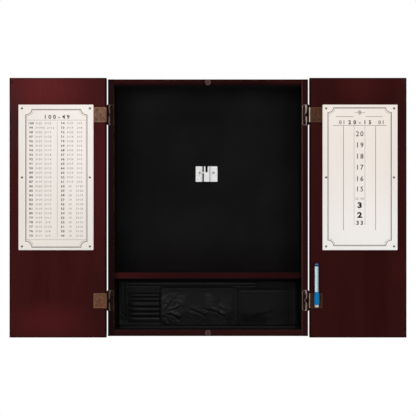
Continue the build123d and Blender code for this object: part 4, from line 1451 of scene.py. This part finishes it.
def stitchRow(bm, frontAt, x0, z0, x1, z1):
    s = stitchSizes
    length = math.hypot(x1 - x0, z1 - z0)
    dx, dz = (x1 - x0) / length, (z1 - z0) / length
    count = int(length / s["pitch"])
    for i in range(count):
        start = (i + 0.5) * length / count - s["length"] / 2
        rows = []
        for j in range(s["rings"]):
            share = j / (s["rings"] - 1)
            at = start + share * s["length"]
            x, z = x0 + dx * at, z0 + dz * at
            y = frontAt(x, z) - s["proud"] + s["sink"] * abs(2 * share - 1) ** 3
            row = []
            for k in range(s["sides"]):
                turn = math.tau * k / s["sides"]
                side, out = s["radius"] * math.cos(turn), s["radius"] * math.sin(turn)
                row.append(bm.verts.new(((x - dz * side) * mm, (y + out) * mm, (z + dx * side) * mm)))
            rows.append(row)
        for a, b in zip(rows, rows[1:]):
            for k in range(s["sides"]):
                bm.faces.new((a[k], a[k - 1], b[k - 1], b[k]))
        bm.faces.new(rows[0])
        bm.faces.new(rows[-1][::-1])


def pouchStitches():
    bm = bmesh.new()
    seam = stitchSizes["seam"]
    hem = pouchBox["top"] - backingSizes["hemDrop"]
    for drop in backingSizes["hemGrooves"]:
        stitchRow(bm, backingFront, backingSizes["hemFrom"] + 2, hem + drop, backingSizes["hemTo"] - 6, hem + drop)
    for box, frontAt in ((centreBox, centreFront), (flatBox, flatFront)):
        left, right = box["left"] + seam, box["right"] - seam
        bottom, top = box["bottom"] + seam, box["top"] - stitchSizes["mouthGap"]
        stitchRow(bm, frontAt, left, bottom, left, top)
        stitchRow(bm, frontAt, right, bottom, right, top)
        stitchRow(bm, frontAt, left, bottom, right, bottom)
    bmesh.ops.recalc_face_normals(bm, faces=bm.faces)
    threads = pieceFrom(bm, "pouchStitches", stitchThread)
    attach(threads, "cabinet")


pouchStitches()
print("stage: pouch done")


# Felt eraser on the marker's cap

eraserSizes = {
    # shares of the radius and of the height, from the bottom up
    "profile": ((0, 0.02), (0.45, 0.0), (0.8, 0.03), (0.95, 0.1), (1.0, 0.2), (0.985, 0.4), (1.0, 0.6),
                (0.99, 0.8), (0.97, 1.0), (0, 1.0)),
    "steps": 40, "merge": 0.01 * mm,
    "seed": 3, "fuzz": 0.02,
}


def eraserPad():
    s = eraserSizes
    low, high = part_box("marker_eraser")
    middle = (low + high) / 2
    radius = (high.x - low.x) / 2
    bm = bmesh.new()
    path = [(r * radius, 0, low.z + h * (high.z - low.z)) for r, h in s["profile"]]
    spun(bm, path, (0, 0, 0), (0, 0, 1), s["steps"])
    merged(bm, s["merge"])
    chance = random.Random(s["seed"])
    for v in bm.verts:
        fuzz = 1 - chance.uniform(0, s["fuzz"])
        v.co.x = v.co.x * fuzz + middle.x
        v.co.y = v.co.y * fuzz + middle.y
    piece = pieceFrom(bm, "eraserPad", whiteFelt)
    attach(piece, "right_door")
    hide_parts("marker_eraser")


eraserPad()


# Cap and end plug of the marker, turned with their ribs

markerSizes = {
    "steps": 48, "merge": 0.004 * mm, "sharp": 40,
    "capWide": 7.1,  # the cap swells across, and stays flat towards the door
    "capInside": 0.88, "capFloor": 3,  # hollow under the pad: share of the width, and height
    # shares of the height and of the width, from the bottom up
    "capOutside": ((0.0, 0.93), (0.01, 0.95), (0.2, 0.99), (0.42, 1.0), (0.58, 0.985), (0.7, 0.93), (0.8, 0.86),
                   (0.9, 0.81), (0.975, 0.8), (1.0, 0.77)),
    "ribsFrom": 0.24, "ribsTo": 0.56, "ribWide": 0.998, "ribHalf": 0.45,
    "mouthRadius": 4.95, "mouthDepth": 12,
    "ribs": 7,
    "ribDepth": 0.22,
    "plugReach": 6.4,  # the plug's collar comes down over the barrel
    "plugProud": 0.12,
    "plugWall": 0.5, "plugInside": 1,
    # share of the radius, and height in mm above the barrel's end, then under the plug's top
    "plugShoulder": ((0.97, -0.6), (0.88, 0.1)), "plugTop": ((0.86, 1.1), (0.8, 0.35)), "plugFlat": 0.62,
}


def turnedPiece(name, profile, middle, mat, squeeze=1.0, backY=None):
    # profile is (radius, z) from the bottom up, squeeze makes it oval front to back
    s = markerSizes
    bm = bmesh.new()
    spun(bm, [(r, 0, z) for r, z in profile], (0, 0, 0), (0, 0, 1), s["steps"])
    merged(bm, s["merge"])
    for v in bm.verts:
        v.co.x += middle.x
        v.co.y = v.co.y * squeeze + middle.y
        if backY is not None:
            v.co.y = min(v.co.y, backY)
    bmesh.ops.remove_doubles(bm, verts=bm.verts, dist=s["merge"])
    bmesh.ops.dissolve_degenerate(bm, dist=s["merge"], edges=bm.edges)
    piece = pieceFrom(bm, name, mat)
    piece.data.set_sharp_from_angle(angle=math.radians(s["sharp"]))
    return piece


def markerCap():
    s = markerSizes
    low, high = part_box("marker_cap")
    barrelLow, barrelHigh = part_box("marker_barrel")
    middle = (barrelLow + barrelHigh) / 2
    deep = middle.y - low.y
    wide = s["capWide"] * mm
    tall = high.z - low.z
    inside, floor = s["capInside"] * wide, low.z + s["capFloor"] * mm
    outside = s["capOutside"]
    profile = [(0.0, floor), (inside, floor), (inside, low.z)]
    profile += [(share * wide, low.z + up * tall) for up, share in outside[:3]]
    # the ribs stand in for the fourth point
    first, last = low.z + s["ribsFrom"] * tall, low.z + s["ribsTo"] * tall
    for i in range(s["ribs"]):
        z = first + (last - first) * i / (s["ribs"] - 1)
        for step, cut in ((-1.0, 0.0), (-s["ribHalf"], s["ribDepth"]), (s["ribHalf"], s["ribDepth"])):
            profile.append((s["ribWide"] * wide - cut * mm, z + step * mm))
    profile += [(share * wide, low.z + up * tall) for up, share in outside[4:]]
    mouth, bore = s["mouthRadius"] * mm, high.z - s["mouthDepth"] * mm
    profile += [(mouth, high.z), (mouth, bore), (0.0, bore)]
    cap = turnedPiece("markerCap", profile, middle, capBlue, deep / wide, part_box("marker_magnet")[0].y)
    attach(cap, "right_door")
    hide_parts("marker_cap")


def markerPlug():
    s = markerSizes
    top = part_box("marker_end_plug")[1].z
    barrelLow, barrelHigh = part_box("marker_barrel")
    middle = (barrelLow + barrelHigh) / 2
    radius = (barrelHigh.x - barrelLow.x) / 2 + s["plugProud"] * mm
    end = barrelHigh.z
    bottom = end - s["plugReach"] * mm
    inside, floor = radius - s["plugWall"] * mm, end - s["plugInside"] * mm
    profile = [(0.0, floor), (inside, floor), (inside, bottom), (radius - 0.1 * mm, bottom),
               (radius, bottom + 0.2 * mm), (radius, end - 1.6 * mm)]
    profile += [(share * radius, end + up * mm) for share, up in s["plugShoulder"]]
    profile += [(share * radius, top - under * mm) for share, under in s["plugTop"]]
    profile += [(s["plugFlat"] * radius, top), (0.0, top)]
    plug = turnedPiece("markerPlug", profile, middle, plugBlue)
    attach(plug, "marker_pen")
    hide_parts("marker_end_plug")


markerCap()
markerPlug()
print("stage: marker done")


# Floor, light, world and camera

stageSizes = {
    "floorZ": -1.3, "floorSize": 3.6,
    "floorTones": ((225, 224, 222), (218, 217, 215)),
    "floorSpecular": 0.2, "floorRoughness": 0.7, "clouds": 3,
}


def paleFloor():
    s = stageSizes
    mat, shader = newFinish("paleFloor", specular=s["floorSpecular"], roughness=s["floorRoughness"])
    cloudy = clouds(mat, placeIn(mat), s["clouds"], 3.0)
    first, second = s["floorTones"]
    feed(mat, shader.inputs["Base Color"], blendTone(mat, cloudy, linear(*first), linear(*second)))
    half = s["floorSize"] / 2
    corners = [(-half, -half), (half, -half), (half, half), (-half, half)]
    floor = newPiece("floor", [(x, y, s["floorZ"]) for x, y in corners], [(0, 1, 2, 3)], mat)


lampSizes = {
    "key": {"place": (-1.5, -2.1, 1.2), "size": (1.5, 1.5), "power": 28, "aim": (0, 0, 0)},
    "fill": {"place": (1.7, -1.9, 0.6), "size": (1.2, 1.8), "power": 18, "aim": (0.1, 0, 0)},
    "top": {"place": (0.1, -0.9, 1.7), "size": (1.6, 0.8), "power": 8, "aim": (0, 0, -0.1)},
}


def studioLamp(name, lamp):
    data = bpy.data.lights.new(name, "AREA")
    data.shape = "RECTANGLE"
    data.size, data.size_y = lamp["size"]
    data.energy = lamp["power"]
    holder = bpy.data.objects.new(name, data)
    holder.location = lamp["place"]
    aim = Vector(lamp["aim"]) - Vector(lamp["place"])
    holder.rotation_euler = aim.to_track_quat("-Z", "Y").to_euler()
    holder.visible_glossy = False  # the room's own gradient gives the reflections
    bpy.context.scene.collection.objects.link(holder)


roomLook = {
    "plain": 0.42,  # light from every side on what isn't glossy
    # strengths that glossy surfaces mirror
    "left": 0.08, "right": 0.045, "high": 0.75, "behind": 1.0,
    "leftRight": 0.7, "highFrom": 0.3, "highTo": 0.75, "frontTo": -0.1, "behindFrom": 0.35,
    "backdrop": 1.0,
}


def studioWorld():
    r = roomLook
    world = bpy.data.worlds.new("studio")
    world.use_nodes = True
    bpy.context.scene.world = world
    tree = world.node_tree
    tree.nodes.clear()
    out = tree.nodes.new("ShaderNodeOutputWorld")
    paths = tree.nodes.new("ShaderNodeLightPath")
    coords = tree.nodes.new("ShaderNodeTexCoord")
    split = tree.nodes.new("ShaderNodeSeparateXYZ")
    tree.links.new(coords.outputs["Generated"], split.inputs[0])

    def ground(strength):
        made = tree.nodes.new("ShaderNodeBackground")
        made.inputs[0].default_value = (1, 1, 1, 1)
        if isinstance(strength, bpy.types.NodeSocket):
            tree.links.new(strength, made.inputs[1])
        else:
            made.inputs[1].default_value = strength
        return made.outputs[0]

    def choose(share, first, second):
        made = tree.nodes.new("ShaderNodeMixShader")
        tree.links.new(share, made.inputs[0])
        tree.links.new(first, made.inputs[1])
        tree.links.new(second, made.inputs[2])
        return made.outputs[0]

    def ranged(value, low, high, start, end):
        made = tree.nodes.new("ShaderNodeMapRange")
        tree.links.new(value, made.inputs["Value"])
        for key, number in (("From Min", low), ("From Max", high), ("To Min", start), ("To Max", end)):
            made.inputs[key].default_value = number
        return made.outputs[0]

    # the room in front of the object is dimmer than the white behind it, and dimmer to the right
    backward = ranged(split.outputs[1], r["frontTo"], r["behindFrom"], 0.0, 1.0)
    room = ranged(split.outputs[0], -r["leftRight"], r["leftRight"], r["left"], r["right"])
    upward = ranged(split.outputs[2], r["highFrom"], r["highTo"], 0.0, 1.0)
    gloss = choose(backward, choose(upward, ground(room), ground(r["high"])), ground(r["behind"]))
    seen = tree.nodes.new("ShaderNodeMath")
    seen.operation = "MAXIMUM"
    tree.links.new(paths.outputs["Is Camera Ray"], seen.inputs[0])
    tree.links.new(paths.outputs["Is Transmission Ray"], seen.inputs[1])
    lit = choose(paths.outputs["Is Glossy Ray"], ground(r["plain"]), gloss)
    shown = choose(seen.outputs[0], lit, ground(r["backdrop"]))
    tree.links.new(shown, out.inputs[0])


paleFloor()
for name, lamp in lampSizes.items():
    studioLamp(name, lamp)
studioWorld()

cameraSizes = {
    "place": (0.0, -2.076, -0.0008), "tilt": 90,
    "lens": 63.67, "sensor": 36.0, "farthest": 50.0,
}
camera = bpy.data.cameras.new("camera")
camera.lens = cameraSizes["lens"]
camera.sensor_width = cameraSizes["sensor"]
camera.clip_end = cameraSizes["farthest"]
viewer = bpy.data.objects.new("camera", camera)
viewer.location = cameraSizes["place"]
viewer.rotation_euler = (math.radians(cameraSizes["tilt"]), 0, 0)
bpy.context.scene.collection.objects.link(viewer)
bpy.context.scene.camera = viewer
bpy.context.scene.view_settings.view_transform = "Standard"
print("stage: light and camera done")
